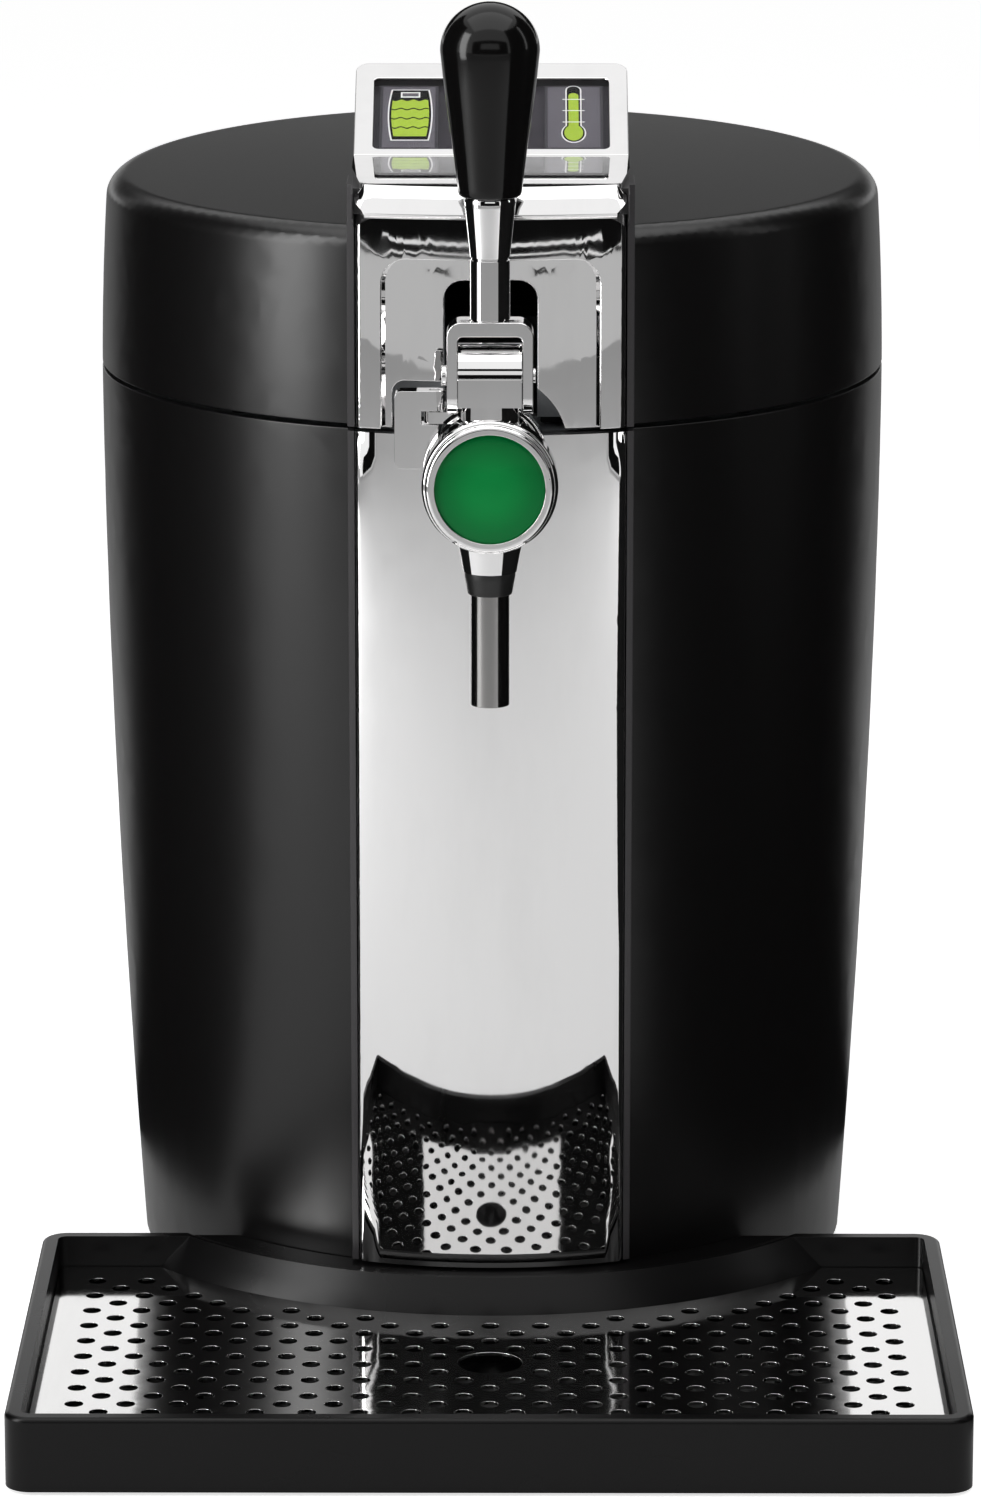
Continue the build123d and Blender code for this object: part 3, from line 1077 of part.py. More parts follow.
# ================================================================ service bay
def make_rear_panel():
    plate_back = BAY_FACE_Y - BAY_PLATE
    half = BAY_HALF + BAY_COLLAR
    low, high = BAY_LOW_Z - BAY_COLLAR, BAY_HIGH_Z + BAY_COLLAR
    panel = block(-half, half, plate_back, REAR_REACH, low, high)
    panel -= block(-BAY_HALF, BAY_HALF, BAY_FACE_Y, REAR_REACH + 1, BAY_LOW_Z, BAY_HIGH_Z)
    panel &= barrel(low - 1, high + 1, -SHELL_FIT)
    through = (plate_back - 1, BAY_FACE_Y + 1)
    return panel - inlet_block(0, *through) - switch_block(0, *through)


def make_power_inlet():
    front = BAY_FACE_Y + INLET_FLANGE
    body = inlet_block(0, front - INLET_DEPTH, BAY_FACE_Y) + inlet_block(SWITCH_RIM, BAY_FACE_Y, front)
    socket = Rectangle(2 * (INLET_HALF - INLET_WALL), 2 * (INLET_HALF_HEIGHT - INLET_WALL))
    socket = chamfer(socket.vertices().sort_by(Axis.Y)[-2:], 2 * INLET_WALL)
    body -= facing_prism(Pos(INLET_X, BAY_MID_Z) * socket, front - SOCKET_DEPTH, front + 1)
    for x, z in blade_spots():
        body -= block(x - BLADE_HALF_WIDTH, x + BLADE_HALF_WIDTH, front - SOCKET_DEPTH - 2, front,
                      z - BLADE_HALF_HEIGHT, z + BLADE_HALF_HEIGHT)
    return body


def inlet_block(grow, y0, y1):
    """Box round the inlet's middle, grown sideways."""
    half, tall = INLET_HALF + grow, INLET_HALF_HEIGHT + grow
    return block(INLET_X - half, INLET_X + half, y0, y1, BAY_MID_Z - tall, BAY_MID_Z + tall)


def blade_spots():
    """Three contacts: two in a row and the earth contact above them."""
    low = BAY_MID_Z - BLADE_RISE
    return [(INLET_X - BLADE_PITCH, low), (INLET_X + BLADE_PITCH, low), (INLET_X, BAY_MID_Z + BLADE_RISE)]


def make_inlet_blades():
    root_y = BAY_FACE_Y + INLET_FLANGE - SOCKET_DEPTH - 2
    return Compound([block(x - BLADE_HALF_WIDTH, x + BLADE_HALF_WIDTH, root_y, root_y + BLADE_LENGTH,
                           z - BLADE_HALF_HEIGHT, z + BLADE_HALF_HEIGHT) for x, z in blade_spots()])


def rocker_axis_y():
    return BAY_FACE_Y + INLET_FLANGE + ROCKER_PROUD - ROCKER_R


def make_switch_housing():
    front = BAY_FACE_Y + INLET_FLANGE
    back = front - SWITCH_DEPTH
    housing = switch_block(0, back, BAY_FACE_Y) + switch_block(SWITCH_RIM, BAY_FACE_Y, front)
    housing -= switch_block(-SWITCH_WALL, back + SWITCH_WALL, front + 1)
    x0, x1 = SWITCH_X - SWITCH_HALF, SWITCH_X + SWITCH_HALF
    return housing - rod_x(ROCKER_PIN_R + RUNNING, x0, x1, rocker_axis_y(), BAY_MID_Z)


def switch_block(grow, y0, y1):
    """Box round the switch's middle, grown sideways."""
    half, tall = SWITCH_HALF + grow, SWITCH_HALF_HEIGHT + grow
    return block(SWITCH_X - half, SWITCH_X + half, y0, y1, BAY_MID_Z - tall, BAY_MID_Z + tall)


def make_switch_rocker():
    """Rocker with a dished face that tilts about its own pin, short enough to swing in its housing."""
    half = SWITCH_HALF - SWITCH_WALL - SLIP
    room = SWITCH_HALF_HEIGHT - SWITCH_WALL - SLIP
    corner_turn = math.asin(room / ROCKER_R) - math.radians(ROCKER_TILT_DEG)
    tall = ROCKER_R * math.sin(corner_turn)
    x0, x1 = SWITCH_X - half, SWITCH_X + half
    axis = rocker_axis_y()
    rocker = rod_x(ROCKER_R, x0, x1, axis, BAY_MID_Z)
    rocker &= block(x0, x1, axis - ROCKER_BACK, REAR_REACH, BAY_MID_Z - tall, BAY_MID_Z + tall)
    rocker -= rod_x(2 * ROCKER_R, x0 - 1, x1 + 1, axis + 3 * ROCKER_R - ROCKER_DISH, BAY_MID_Z)
    return rocker + rod_x(ROCKER_PIN_R, SWITCH_X - SWITCH_HALF, SWITCH_X + SWITCH_HALF, axis, BAY_MID_Z)


# ================================================================ electronics and fasteners
def make_control_board():
    return block(-MAIN_BOARD_HALF_X, MAIN_BOARD_HALF_X, -MAIN_BOARD_HALF_Y, MAIN_BOARD_HALF_Y,
                 MAIN_BOARD_Z, MAIN_BOARD_Z + BOARD_THICKNESS)


def make_board_parts():
    """Transformer, capacitors, regulator and terminal block on the board."""
    z = MAIN_BOARD_Z + BOARD_THICKNESS
    boxes = ((TRANSFORMER, TRANSFORMER_AT), (REGULATOR, REGULATOR_AT), (TERMINALS, TERMINALS_AT))
    pieces = [Pos(*spot, z + size[2] / 2) * Box(*size) for size, spot in boxes]
    pieces += [post(CAPACITOR_R, z, z + CAPACITOR_HEIGHT, x, CAPACITOR_Y) for x in CAPACITOR_X]
    return Compound(pieces)


def make_pan_screws():
    """Screws driven up through the pan into its posts, which hold the well."""
    return Compound([post(SCREW_HEAD_R, FEET_HEIGHT - SCREW_HEAD, FEET_HEIGHT, x, y)
                     + post(SCREW_R, FEET_HEIGHT, FEET_HEIGHT + SCREW_LENGTH, x, y)
                     for x, y in around_z(4, POST_CIRCLE_R, 45)])


def leaf_screw_seat():
    """How far back the screws' heads sit in the hinge's lower leaf."""
    return barrel_radius(leaf_screw_z()) * REAR_STRETCH - LEAF_SCREW_SINK


def leaf_screw_z():
    return SEAM_Z - LEAF_HEIGHT / 2 - KNUCKLE_R


def make_hinge_screws():
    seat, z = leaf_screw_seat(), leaf_screw_z()
    return Compound([rod_y(SCREW_HEAD_R, seat, seat + SCREW_HEAD, x, z)
                     + rod_y(SCREW_R, seat - LEAF_DEPTH / 2, seat, x, z) for x in LEAF_SCREW_X])


# ================================================================ the whole dispenser
PIECES = {
    "body_shell": make_body_shell,
    "base_pan": make_base_pan,
    "rubber_feet": make_feet,
    "tray_dock": make_tray_dock,
    "keg_well": make_keg_well,
    "insulation_sleeve": make_insulation_sleeve,
    "top_deck": make_top_deck,
    "lid_buffers": make_lid_buffers,
    "column_plate": make_column_plate,
    "column_core": make_column_core,
    "column_trims": make_column_trims,
    "drip_tray": make_drip_tray,
    "tray_pads": make_tray_pads,
    "drip_grille": make_drip_grille,
    "tap_body": make_tap_body,
    "valve_plunger": make_valve_plunger,
    "valve_spring": make_valve_spring,
    "badge_rim": make_badge_rim,
    "badge_disc": make_badge_disc,
    "spout_collar": make_spout_collar,
    "spout_tube": make_spout_tube,
    "shank_collar": make_shank_collar,
    "shank_nut": make_shank_nut,
    "latch_pin": make_latch_pin,
    "tap_latch": make_tap_latch,
    "yoke": make_yoke,
    "yoke_pin": make_yoke_pin,
    "valve_cam": make_valve_cam,
    "stem": make_stem,
    "knob": make_knob,
    "lid_shell": make_lid_shell,
    "lid_liner": make_lid_liner,
    "lid_foam": make_lid_foam,
    "lid_gasket": make_lid_gasket,
    "upper_panel": make_upper_panel,
    "console_housing": make_console_housing,
    "shelf": make_shelf,
    "display_bezel": make_display_bezel,
    "display_window": make_display_window,
    "keg_gauge": lambda: make_gauge(-1),
    "temperature_gauge": lambda: make_gauge(1),
    "display_board": make_display_board,
    "hinge_base": make_hinge_base,
    "lid_leaf": make_lid_leaf,
    "hinge_pin": make_hinge_pin,
    "cold_block": make_cold_block,
    "peltier_module": make_peltier_module,
    "heat_sink": make_heat_sink,
    "fan_frame": make_fan_frame,
    "fan_rotor": make_fan_rotor,
    "rear_grille": make_rear_grille,
    "rear_panel": make_rear_panel,
    "power_inlet": make_power_inlet,
    "inlet_blades": make_inlet_blades,
    "switch_housing": make_switch_housing,
    "switch_rocker": make_switch_rocker,
    "control_board": make_control_board,
    "board_parts": make_board_parts,
    "pan_screws": make_pan_screws,
    "hinge_screws": make_hinge_screws,
}


def main():
    os.makedirs("parts", exist_ok=True)
    for name, make in PIECES.items():
        export_step(Pos(0, AXIS_Y, 0) * make(), os.path.join("parts", name + ".step"))
        print("wrote", name)


if __name__ == "__main__":
    main()
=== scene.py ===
"""Looks of the keg dispenser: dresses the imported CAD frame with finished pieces, materials and a studio."""

import json
import math

import bmesh
import bpy
from bpy.props import FloatProperty, FloatVectorProperty, IntProperty, PointerProperty
from mathutils import Matrix, Vector

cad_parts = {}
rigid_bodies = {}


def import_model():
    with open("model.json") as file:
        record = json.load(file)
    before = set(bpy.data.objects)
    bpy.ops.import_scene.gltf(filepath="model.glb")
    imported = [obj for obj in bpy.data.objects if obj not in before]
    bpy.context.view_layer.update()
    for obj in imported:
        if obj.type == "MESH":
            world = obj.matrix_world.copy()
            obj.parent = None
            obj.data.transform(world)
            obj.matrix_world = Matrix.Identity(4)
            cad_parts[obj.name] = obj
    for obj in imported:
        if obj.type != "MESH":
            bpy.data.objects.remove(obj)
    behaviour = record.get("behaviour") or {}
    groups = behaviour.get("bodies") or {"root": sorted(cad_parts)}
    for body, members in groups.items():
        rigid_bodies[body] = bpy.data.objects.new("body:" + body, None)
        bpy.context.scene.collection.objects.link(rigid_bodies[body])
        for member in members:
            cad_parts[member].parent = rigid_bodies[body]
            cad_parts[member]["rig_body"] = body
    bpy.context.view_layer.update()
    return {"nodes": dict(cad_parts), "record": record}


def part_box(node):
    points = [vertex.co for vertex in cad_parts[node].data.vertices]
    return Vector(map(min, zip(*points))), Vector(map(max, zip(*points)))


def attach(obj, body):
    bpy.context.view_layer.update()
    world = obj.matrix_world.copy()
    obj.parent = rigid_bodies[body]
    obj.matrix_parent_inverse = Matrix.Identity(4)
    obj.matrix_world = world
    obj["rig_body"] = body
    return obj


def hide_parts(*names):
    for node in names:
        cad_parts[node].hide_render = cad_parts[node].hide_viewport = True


bl_info = {
    "name": "Keg dispenser looks",
    "version": (1, 0, 0),
    "blender": (4, 5, 0),
    "location": "3D View > Sidebar > Dispenser",
    "description": "Dresses the packed keg dispenser with finished pieces, materials and a studio",
    "category": "Object",
}

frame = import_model()
MM = 0.001
AXIS_Y = 53.25 * MM             # the keg's axis in the row frame
TAP_Y = AXIS_Y - 176 * MM       # the tap's axis
TRAY_ARC = 138.5 * MM           # radius of the arc in the perforated plate, about the keg's axis
FINGER_REACH = 184 * MM         # from the keg's axis forward to the finger hole
DISPLAY_LEAN = math.radians(62.4)
BEZEL_THICKNESS = 1.8 * MM
CORNER_ANGLE = math.radians(50)     # edges sharper than this are rounded
SMOOTH_DEG = 38                     # and those sharper than this are shaded sharp


def mm(*values):
    """Millimetres as metres."""
    return [value * MM for value in values]


# ---- sizes and colours
def colour_field(name, description, default):
    return FloatVectorProperty(name=name, description=description, subtype="COLOR", size=4, min=0, max=1,
                               default=default)


def number_field(name, description, default, **more):
    return FloatProperty(name=name, description=description, default=default, **more)


def length_field(name, description, default):
    return number_field(name, description, default, unit="LENGTH", min=0)


class BodyLook(bpy.types.PropertyGroup):
    """Plastic of the barrel, lid, cheeks and tray."""
    colour: colour_field("Black", "Colour of the moulded black plastic", (0.0030, 0.0027, 0.0028, 1))
    tray_colour: colour_field("Tray", "Colour of the drip tray", (0.0028, 0.0026, 0.0027, 1))
    roughness: number_field("Roughness", "Roughness of the satin surface", 0.29, min=0, max=1)
    edge: length_field("Edge round", "Radius of the moulded edges", 0.4 * MM)


class MetalLook(bpy.types.PropertyGroup):
    """Plated and polished metal."""
    chrome: colour_field("Chrome", "Colour of the plating", (0.87, 0.865, 0.865, 1))
    steel: colour_field("Steel", "Colour of the bare steel", (0.62, 0.615, 0.61, 1))
    chrome_roughness: number_field("Chrome roughness", "Roughness of the plating", 0.02, min=0, max=1)
    plate_edge: length_field("Plate edge", "Radius of the plated edges", 0.7 * MM)


class GrilleLook(bpy.types.PropertyGroup):
    """Perforated plate in the tray."""
    hole_radius: length_field("Hole", "Radius of a drain hole", 2.8 * MM)
    finger_radius: length_field("Finger hole", "Radius of the finger hole", 10 * MM)
    pitch_x: length_field("Pitch across", "Distance between two holes of a row", 15.6 * MM)
    pitch_y: length_field("Pitch along", "Distance between two rows of the same set", 14.8 * MM)
    thickness: length_field("Thickness", "Thickness of the plate", 1.0 * MM)
    sides: IntProperty(name="Sides", description="Sides of a hole's outline", default=24, min=8, max=64)


class DisplayLook(bpy.types.PropertyGroup):
    """Level and temperature displays."""
    lit: colour_field("Lit segments", "Colour of the lit segments", (0.35, 0.50, 0.045, 1))
    cell: colour_field("Cell", "Colour of the liquid crystal cell", (0.125, 0.117, 0.135, 1))
    glow: number_field("Glow", "Light given off by the lit segments", 0.12, min=0)
    line: length_field("Line", "Width of the outlines", 0.45 * MM)


class TapLook(bpy.types.PropertyGroup):
    """Knob and badge of the tap."""
    knob: colour_field("Knob", "Colour of the grip", (0.0035, 0.0033, 0.0033, 1))
    badge: colour_field("Badge", "Colour of the badge's enamel", (0.0, 0.25, 0.050, 1))
    badge_edge: colour_field("Badge edge", "Colour towards the badge's rim", (0.0, 0.15, 0.032, 1))


class StudioLook(bpy.types.PropertyGroup):
    """Lights and camera."""
    softbox: number_field("Softboxes", "Power of the left softbox; the others follow it", 8.0, unit="POWER")
    overhead: number_field("Overhead", "Power of the overhead light", 7.6, unit="POWER")
    camera_distance: length_field("Camera distance", "From the keg's axis to the camera", 2.14)
    camera_height: length_field("Camera height", "Camera above the table", 0.68)
    camera_tilt: number_field("Camera tilt", "How far the camera looks down", math.radians(13.6),
                              subtype="ANGLE")
    lens: number_field("Lens", "Focal length", 161.5, unit="CAMERA")


# ---- mesh helpers
def link(name, data):
    obj = bpy.data.objects.new(name, data)
    bpy.context.scene.collection.objects.link(obj)
    return obj


def object_from(bm, name, smooth_deg=None):
    """New object from a bmesh, smooth except at edges sharper than an angle."""
    mesh = bpy.data.meshes.new(name)
    bm.to_mesh(mesh)
    bm.free()
    if smooth_deg is not None:
        mesh.shade_smooth()
        mesh.set_sharp_from_angle(angle=math.radians(smooth_deg))
    return link(name, mesh)


def baked(obj):
    """Applies an object's modifiers and gives back the object with a plain mesh."""
    graph = bpy.context.evaluated_depsgraph_get()
    mesh = bpy.data.meshes.new_from_object(obj.evaluated_get(graph), preserve_all_data_layers=True,
                                           depsgraph=graph)
    obj.modifiers.clear()
    old = obj.data
    obj.data = mesh
    mesh.name = obj.name
    bpy.data.meshes.remove(old)
    return obj


def even_normals(obj):
    """Keeps large faces flat beside their rounded edges."""
    weighted = obj.modifiers.new("Even normals", "WEIGHTED_NORMAL")
    weighted.keep_sharp = True
    weighted.weight = 60
    return baked(obj)


def coat(mesh, finish_name):
    mesh.materials.clear()
    mesh.materials.append(look(finish_name))


def finish(obj, body, finish_name, slot, *nodes):
    """Gives a piece its finish and its body, and hides the CAD nodes it stands for."""
    coat(obj.data, finish_name)
    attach(obj, body)
    if nodes:
        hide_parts(*nodes)
    return obj


def stand_in(obj, finish_name, node):
    """Finishes a piece that takes a CAD node's place, with the node's own body."""
    slot = next(s["material_slot"] for s in frame["record"]["subparts"] if s["node"] == node)
    return finish(obj, frame["nodes"][node]["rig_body"], finish_name, slot, node)


def round_edges(bm, edges, radius, segments):
    bmesh.ops.bevel(bm, geom=edges, offset=radius, segments=segments, profile=0.5, affect="EDGES",
                    clamp_overlap=True)


def skin(node, name, finish_name, edge=0.0):
    """A finished copy of a CAD node: its triangles joined, its edges rounded and its shading even."""
    bm = bmesh.new()
    bm.from_mesh(frame["nodes"][node].data)
    bmesh.ops.remove_doubles(bm, verts=bm.verts, dist=2e-6)
    if edge:
        bmesh.ops.dissolve_limit(bm, angle_limit=math.radians(0.2), verts=bm.verts[:], edges=bm.edges[:])
        corners = [e for e in bm.edges if len(e.link_faces) == 2 and e.calc_face_angle() > CORNER_ANGLE]
        round_edges(bm, corners, edge, 3)
    obj = object_from(bm, name, SMOOTH_DEG)
    if edge:
        even_normals(obj)
    return stand_in(obj, finish_name, node)


def paint(finish_name, *nodes):
    """Gives CAD nodes a finish as they are."""
    for node in nodes:
        coat(frame["nodes"][node].data, finish_name)


def lathe(points, name, centre, sides=96):
    """Solid turned about an upright axis from (radius, height) points; ends on the axis."""
    bm = bmesh.new()
    turn = 2 * math.pi / sides
    rings = [[bm.verts.new((centre[0] + radius * math.cos(i * turn), centre[1] + radius * math.sin(i * turn),
                            height)) for i in range(sides if radius else 1)] for radius, height in points]
    for low, high in zip(rings, rings[1:]):
        for i in range(sides):
            corner = [low[i % len(low)], low[(i + 1) % len(low)],
                      high[(i + 1) % len(high)], high[i % len(high)]]
            unique = list(dict.fromkeys(corner))
            if len(unique) > 2:
                bm.faces.new(unique)
    bmesh.ops.recalc_face_normals(bm, faces=bm.faces[:])
    return object_from(bm, name, SMOOTH_DEG)


# ---- shader groups and materials
VECTOR_MATH = "ShaderNodeVectorMath"
SURFACE_OUTPUTS = (("Colour", "Color"), ("Roughness", "Float"), ("Height", "Float"))


def new_tree(name, kind, inputs, outputs):
    """Empty node tree with named sockets: the tree, the sockets it is given and its end node."""
    tree = bpy.data.node_groups.new(name, kind)
    for way, sockets in (("INPUT", inputs), ("OUTPUT", outputs)):
        for label, socket_kind, *value in sockets:
            socket = tree.interface.new_socket(label, in_out=way, socket_type="NodeSocket" + socket_kind)
            if value:
                socket.default_value = value[0]
    return tree, tree.nodes.new("NodeGroupInput").outputs, tree.nodes.new("NodeGroupOutput")


def feed(node, inputs):
    """Gives each input its value, or a link where the value is another node's socket."""
    for key, value in inputs.items():
        if isinstance(value, bpy.types.NodeSocket):
            node.id_data.links.new(value, node.inputs[key])
        else:
            node.inputs[key].default_value = value


def add(tree, kind, inputs=None, **settings):
    """New node with its settings made and its inputs fed."""
    node = tree.nodes.new(kind)
    for key, value in settings.items():
        setattr(node, key, value)
    feed(node, inputs or {})
    return node


def result(tree, kind, inputs=None, **settings):
    """First output of a new node."""
    return add(tree, kind, inputs, **settings).outputs[0]


def calc(tree, operation, *values, kind="ShaderNodeMath"):
    return result(tree, kind, dict(enumerate(values)), operation=operation)


def spread(tree, source, low, high):
    """Maps 0..1 of a socket to low..high."""
    return result(tree, "ShaderNodeMapRange", {"Value": source, "To Min": low, "To Max": high})


def place_in(tree):
    return add(tree, "ShaderNodeTexCoord").outputs["Object"]


def noise(tree, vector, scale, detail, roughness):
    return result(tree, "ShaderNodeTexNoise", {"Vector": vector, "Scale": scale, "Detail": detail,
                                               "Roughness": roughness})


def end_surface(tree, end, given, shade, more_rough, height):
    """Shades the given colour, adds to the given roughness and passes the height on."""
    tint = add(tree, "ShaderNodeMix", {"Factor": 1.0, "A": given["Colour"], "B": shade},
               data_type="RGBA", blend_type="MULTIPLY")
    feed(end, {"Colour": tint.outputs["Result"], "Height": height,
               "Roughness": calc(tree, "ADD", given["Roughness"], more_rough)})
    return tree


def moulded_grain_group():
    """Fine spark-eroded grain; Variation adds slow changes of gloss."""
    tree, given, end = new_tree("Moulded grain", "ShaderNodeTree", (
        ("Colour", "Color"), ("Roughness", "Float", 0.4), ("Grain", "Float", 1300.0),
        ("Variation", "Float", 0.12)), SURFACE_OUTPUTS)
    place = place_in(tree)
    grain = noise(tree, place, given["Grain"], 3.0, 0.62)
    swing = spread(tree, noise(tree, place, 14.0, 4.0, 0.6), -0.5, 0.5)
    return end_surface(tree, end, given, spread(tree, grain, 0.82, 1.18),
                       calc(tree, "MULTIPLY", swing, given["Variation"]), grain)


def polish_group():
    """Handled polish: faint smears and hairlines, drawn out by Stretch."""
    tree, given, end = new_tree("Handled polish", "ShaderNodeTree", (
        ("Colour", "Color"), ("Roughness", "Float", 0.04), ("Smear", "Float", 0.03),
        ("Stretch", "Vector", (1.0, 1.0, 0.25))), SURFACE_OUTPUTS)
    stretched = calc(tree, "MULTIPLY", place_in(tree), given["Stretch"], kind=VECTOR_MATH)
    smear = noise(tree, stretched, 45.0, 5.0, 0.65)
    mask = result(tree, "ShaderNodeMapRange", {"Value": smear, "From Min": 0.45, "From Max": 0.75})
    return end_surface(tree, end, given, spread(tree, mask, 1.0, 0.95),
                       calc(tree, "MULTIPLY", mask, given["Smear"]), noise(tree, stretched, 1600.0, 2.0, 0.5))


_groups = {}


def group(name):
    """A shared effect, made once."""
    if name not in _groups:
        _groups[name] = {"grain": moulded_grain_group, "polish": polish_group}[name]()
    return _groups[name]


def surface(name, kind, colour, roughness, bump=0.0, bump_mm=0.0, settings=None, fixed=None):
    """Material whose colour, gloss and relief come from one of the shared groups."""
    material = bpy.data.materials.new(name)
    material.use_nodes = True
    tree = material.node_tree
    shader = tree.nodes["Principled BSDF"]
    effect = add(tree, "ShaderNodeGroup", node_tree=group(kind))
    feed(effect, {"Colour": colour, "Roughness": roughness, **(settings or {})})
    feed(shader, {"Base Color": effect.outputs["Colour"], "Roughness": effect.outputs["Roughness"],
                  **(fixed or {})})
    if bump:
        feed(shader, {"Normal": result(tree, "ShaderNodeBump", {
            "Strength": bump, "Distance": bump_mm * MM, "Height": effect.outputs["Height"]})})
    return material


def finishes():
    """Per finish: group, colour, roughness, strength and depth of relief, group's inputs, shader's inputs."""
    scene = bpy.context.scene
    body, metal, tap, display = scene.body_look, scene.metal_look, scene.tap_look, scene.display_look
    metallic, dull = {"Metallic": 1.0}, {"Specular IOR Level": 0.1}
    return {
        "barrel_plastic": ("grain", body.colour, body.roughness, 0.25, 0.03, {"Variation": 0.0}),
        "tray_plastic": ("grain", body.tray_colour, 0.28, 0.25, 0.03, {"Grain": 1500.0, "Variation": 0.08},
                         {"Specular IOR Level": 0.22}),
        "console_plastic": ("grain", (0.035, 0.033, 0.035, 1), 0.30, 0.3, 0.03),
        "liner_plastic": ("grain", (0.30, 0.31, 0.32, 1), 0.45, 0.4, 0.05),
        "dark_plastic": ("grain", (0.03, 0.03, 0.032, 1), 0.5, 0.5, 0.05),
        "rubber": ("grain", (0.012, 0.012, 0.012, 1), 0.7, 0.5, 0.06, {"Grain": 900.0}),
        "collar_rubber": ("grain", (0.01, 0.01, 0.01, 1), 0.38, 0.3, 0.03, {"Grain": 900.0}),
        "grey_foam": ("grain", (0.26, 0.27, 0.28, 1), 0.85, 0.6, 0.3, {"Grain": 420.0, "Variation": 0.15}),
        "foam": ("grain", (0.72, 0.68, 0.52, 1), 0.85, 1.0, 0.5, {"Grain": 420.0, "Variation": 0.2}),
        "ceramic": ("grain", (0.8, 0.8, 0.77, 1), 0.6, 0.2, 0.02),
        "circuit_board": ("grain", (0.01, 0.11, 0.045, 1), 0.35, 0.3, 0.03,
                          {"Grain": 500.0, "Variation": 0.25}),
        "chrome": ("polish", metal.chrome, metal.chrome_roughness, 0.04, 0.01, None, metallic),
        "grille_steel": ("polish", (0.84, 0.835, 0.83, 1), 0.06, 0.10, 0.01,
                         {"Smear": 0.05, "Stretch": (1.0, 0.12, 1.0)}, metallic),
        "steel": ("polish", metal.steel, 0.20, 0.18, 0.02, {"Smear": 0.08, "Stretch": (1.0, 1.0, 0.05)},
                  metallic),
        # darker copy of the steel: painted shade that stands in for the spout's darker reflections
        "spout_steel": ("polish", (0.33, 0.325, 0.32, 1), 0.14, 0.25, 0.03,
                        {"Smear": 0.10, "Stretch": (1.0, 1.0, 0.03)}, metallic),
        "aluminium": ("polish", (0.70, 0.71, 0.73, 1), 0.32, 0.2, 0.03, {"Smear": 0.12}, metallic),
        "brass": ("polish", (0.72, 0.52, 0.22, 1), 0.25, 0.2, 0.02, {"Smear": 0.1}, metallic),
        "well_lining": ("polish", (0.55, 0.56, 0.57, 1), 0.35, 0.2, 0.03, {"Smear": 0.15},
                        {"Metallic": 0.85}),
        "knob_gloss": ("polish", tap.knob, 0.12, 0.02, 0.01, {"Smear": 0.03}, {"Specular IOR Level": 0.3}),
        "window_glass": ("polish", (0.92, 0.92, 0.93, 1), 0.02, 0.0, 0.0, {"Smear": 0.02},
                         {"Transmission Weight": 1.0, "IOR": 1.12}),
        "display_ground": ("grain", (0.030, 0.027, 0.034, 1), 0.22, 0.0, 0.0, {"Grain": 300.0}, dull),
        "cell": ("grain", display.cell, 0.35, 0.0, 0.0, {"Grain": 300.0}, dull),
        "cell_border": ("grain", (0.05, 0.047, 0.055, 1), 0.3, 0.0, 0.0, {"Grain": 300.0}, dull),
        "symbol_black": ("grain", (0.006, 0.006, 0.006, 1), 0.4, 0.0, 0.0, {"Grain": 600.0},
                         {"Specular IOR Level": 0.02}),
        "symbol_white": ("grain", (0.78, 0.78, 0.77, 1), 0.5, 0.0, 0.0, {"Grain": 600.0},
                         {"Emission Color": (0.8, 0.8, 0.8, 1), "Emission Strength": 0.1, **dull}),
        "symbol_lit": ("grain", display.lit, 0.5, 0.0, 0.0, {"Grain": 600.0},
                       {"Emission Color": display.lit, "Emission Strength": display.glow, **dull}),
    }


_made = {}


def look(name):
    """A finish by its name, made once."""
    if name not in _made:
        _made[name] = badge_enamel() if name == "badge_enamel" else surface(name, *finishes()[name])
    return _made[name]


def badge_enamel():
    """Green enamel that darkens towards its rim over a fine engine-turned ground."""
    plain_radius, ring_pitch = mm(4, 0.7)
    tap = bpy.context.scene.tap_look
    material = surface("badge_enamel", "polish", tap.badge, 0.12,
                       fixed={"Coat Weight": 0.15, "Coat Roughness": 0.03, "Metallic": 0.35,
                              "Specular IOR Level": 0.2})
    tree = material.node_tree
    low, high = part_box("badge_disc")
    moved = calc(tree, "SUBTRACT", place_in(tree), (low + high) / 2, kind=VECTOR_MATH)
    flat = calc(tree, "MULTIPLY", moved, (1, 0, 1), kind=VECTOR_MATH)
    away = add(tree, VECTOR_MATH, {0: flat}, operation="LENGTH").outputs["Value"]
    radial = result(tree, "ShaderNodeMapRange", {"Value": away, "From Min": plain_radius,
                                                 "From Max": (high.x - low.x) / 2},
                    interpolation_type="SMOOTHSTEP")
    blend = add(tree, "ShaderNodeMix", {"Factor": radial, "A": tap.badge, "B": tap.badge_edge},
                data_type="RGBA")
    rings = calc(tree, "SINE", calc(tree, "MULTIPLY", away, 2 * math.pi / ring_pitch))
    relief = result(tree, "ShaderNodeBump", {"Strength": 0.12, "Distance": 0.02 * MM, "Height": rings})
    feed(tree.nodes["Principled BSDF"], {"Base Color": blend.outputs["Result"], "Normal": relief})
    return material


# ---- geometry node trees
def geometry_tree(name, inputs):
    return new_tree(name, "GeometryNodeTree", (("Geometry", "Geometry"),) + inputs,
                    (("Geometry", "Geometry"),))


def run_tree(obj, tree, values):
    """Sets a tree's inputs by their sockets' identifiers, runs it and keeps the plain mesh."""
    modifier = obj.modifiers.new(tree.name, "NODES")
    modifier.node_group = tree
    for item in tree.interface.items_tree:
        if item.item_type == "SOCKET" and item.in_out == "INPUT" and item.name in values:
            modifier[item.identifier] = values[item.name]
    return baked(obj)


def attribute(tree, name, kind):
    return add(tree, "GeometryNodeInputNamedAttribute", {"Name": name}, data_type=kind).outputs["Attribute"]


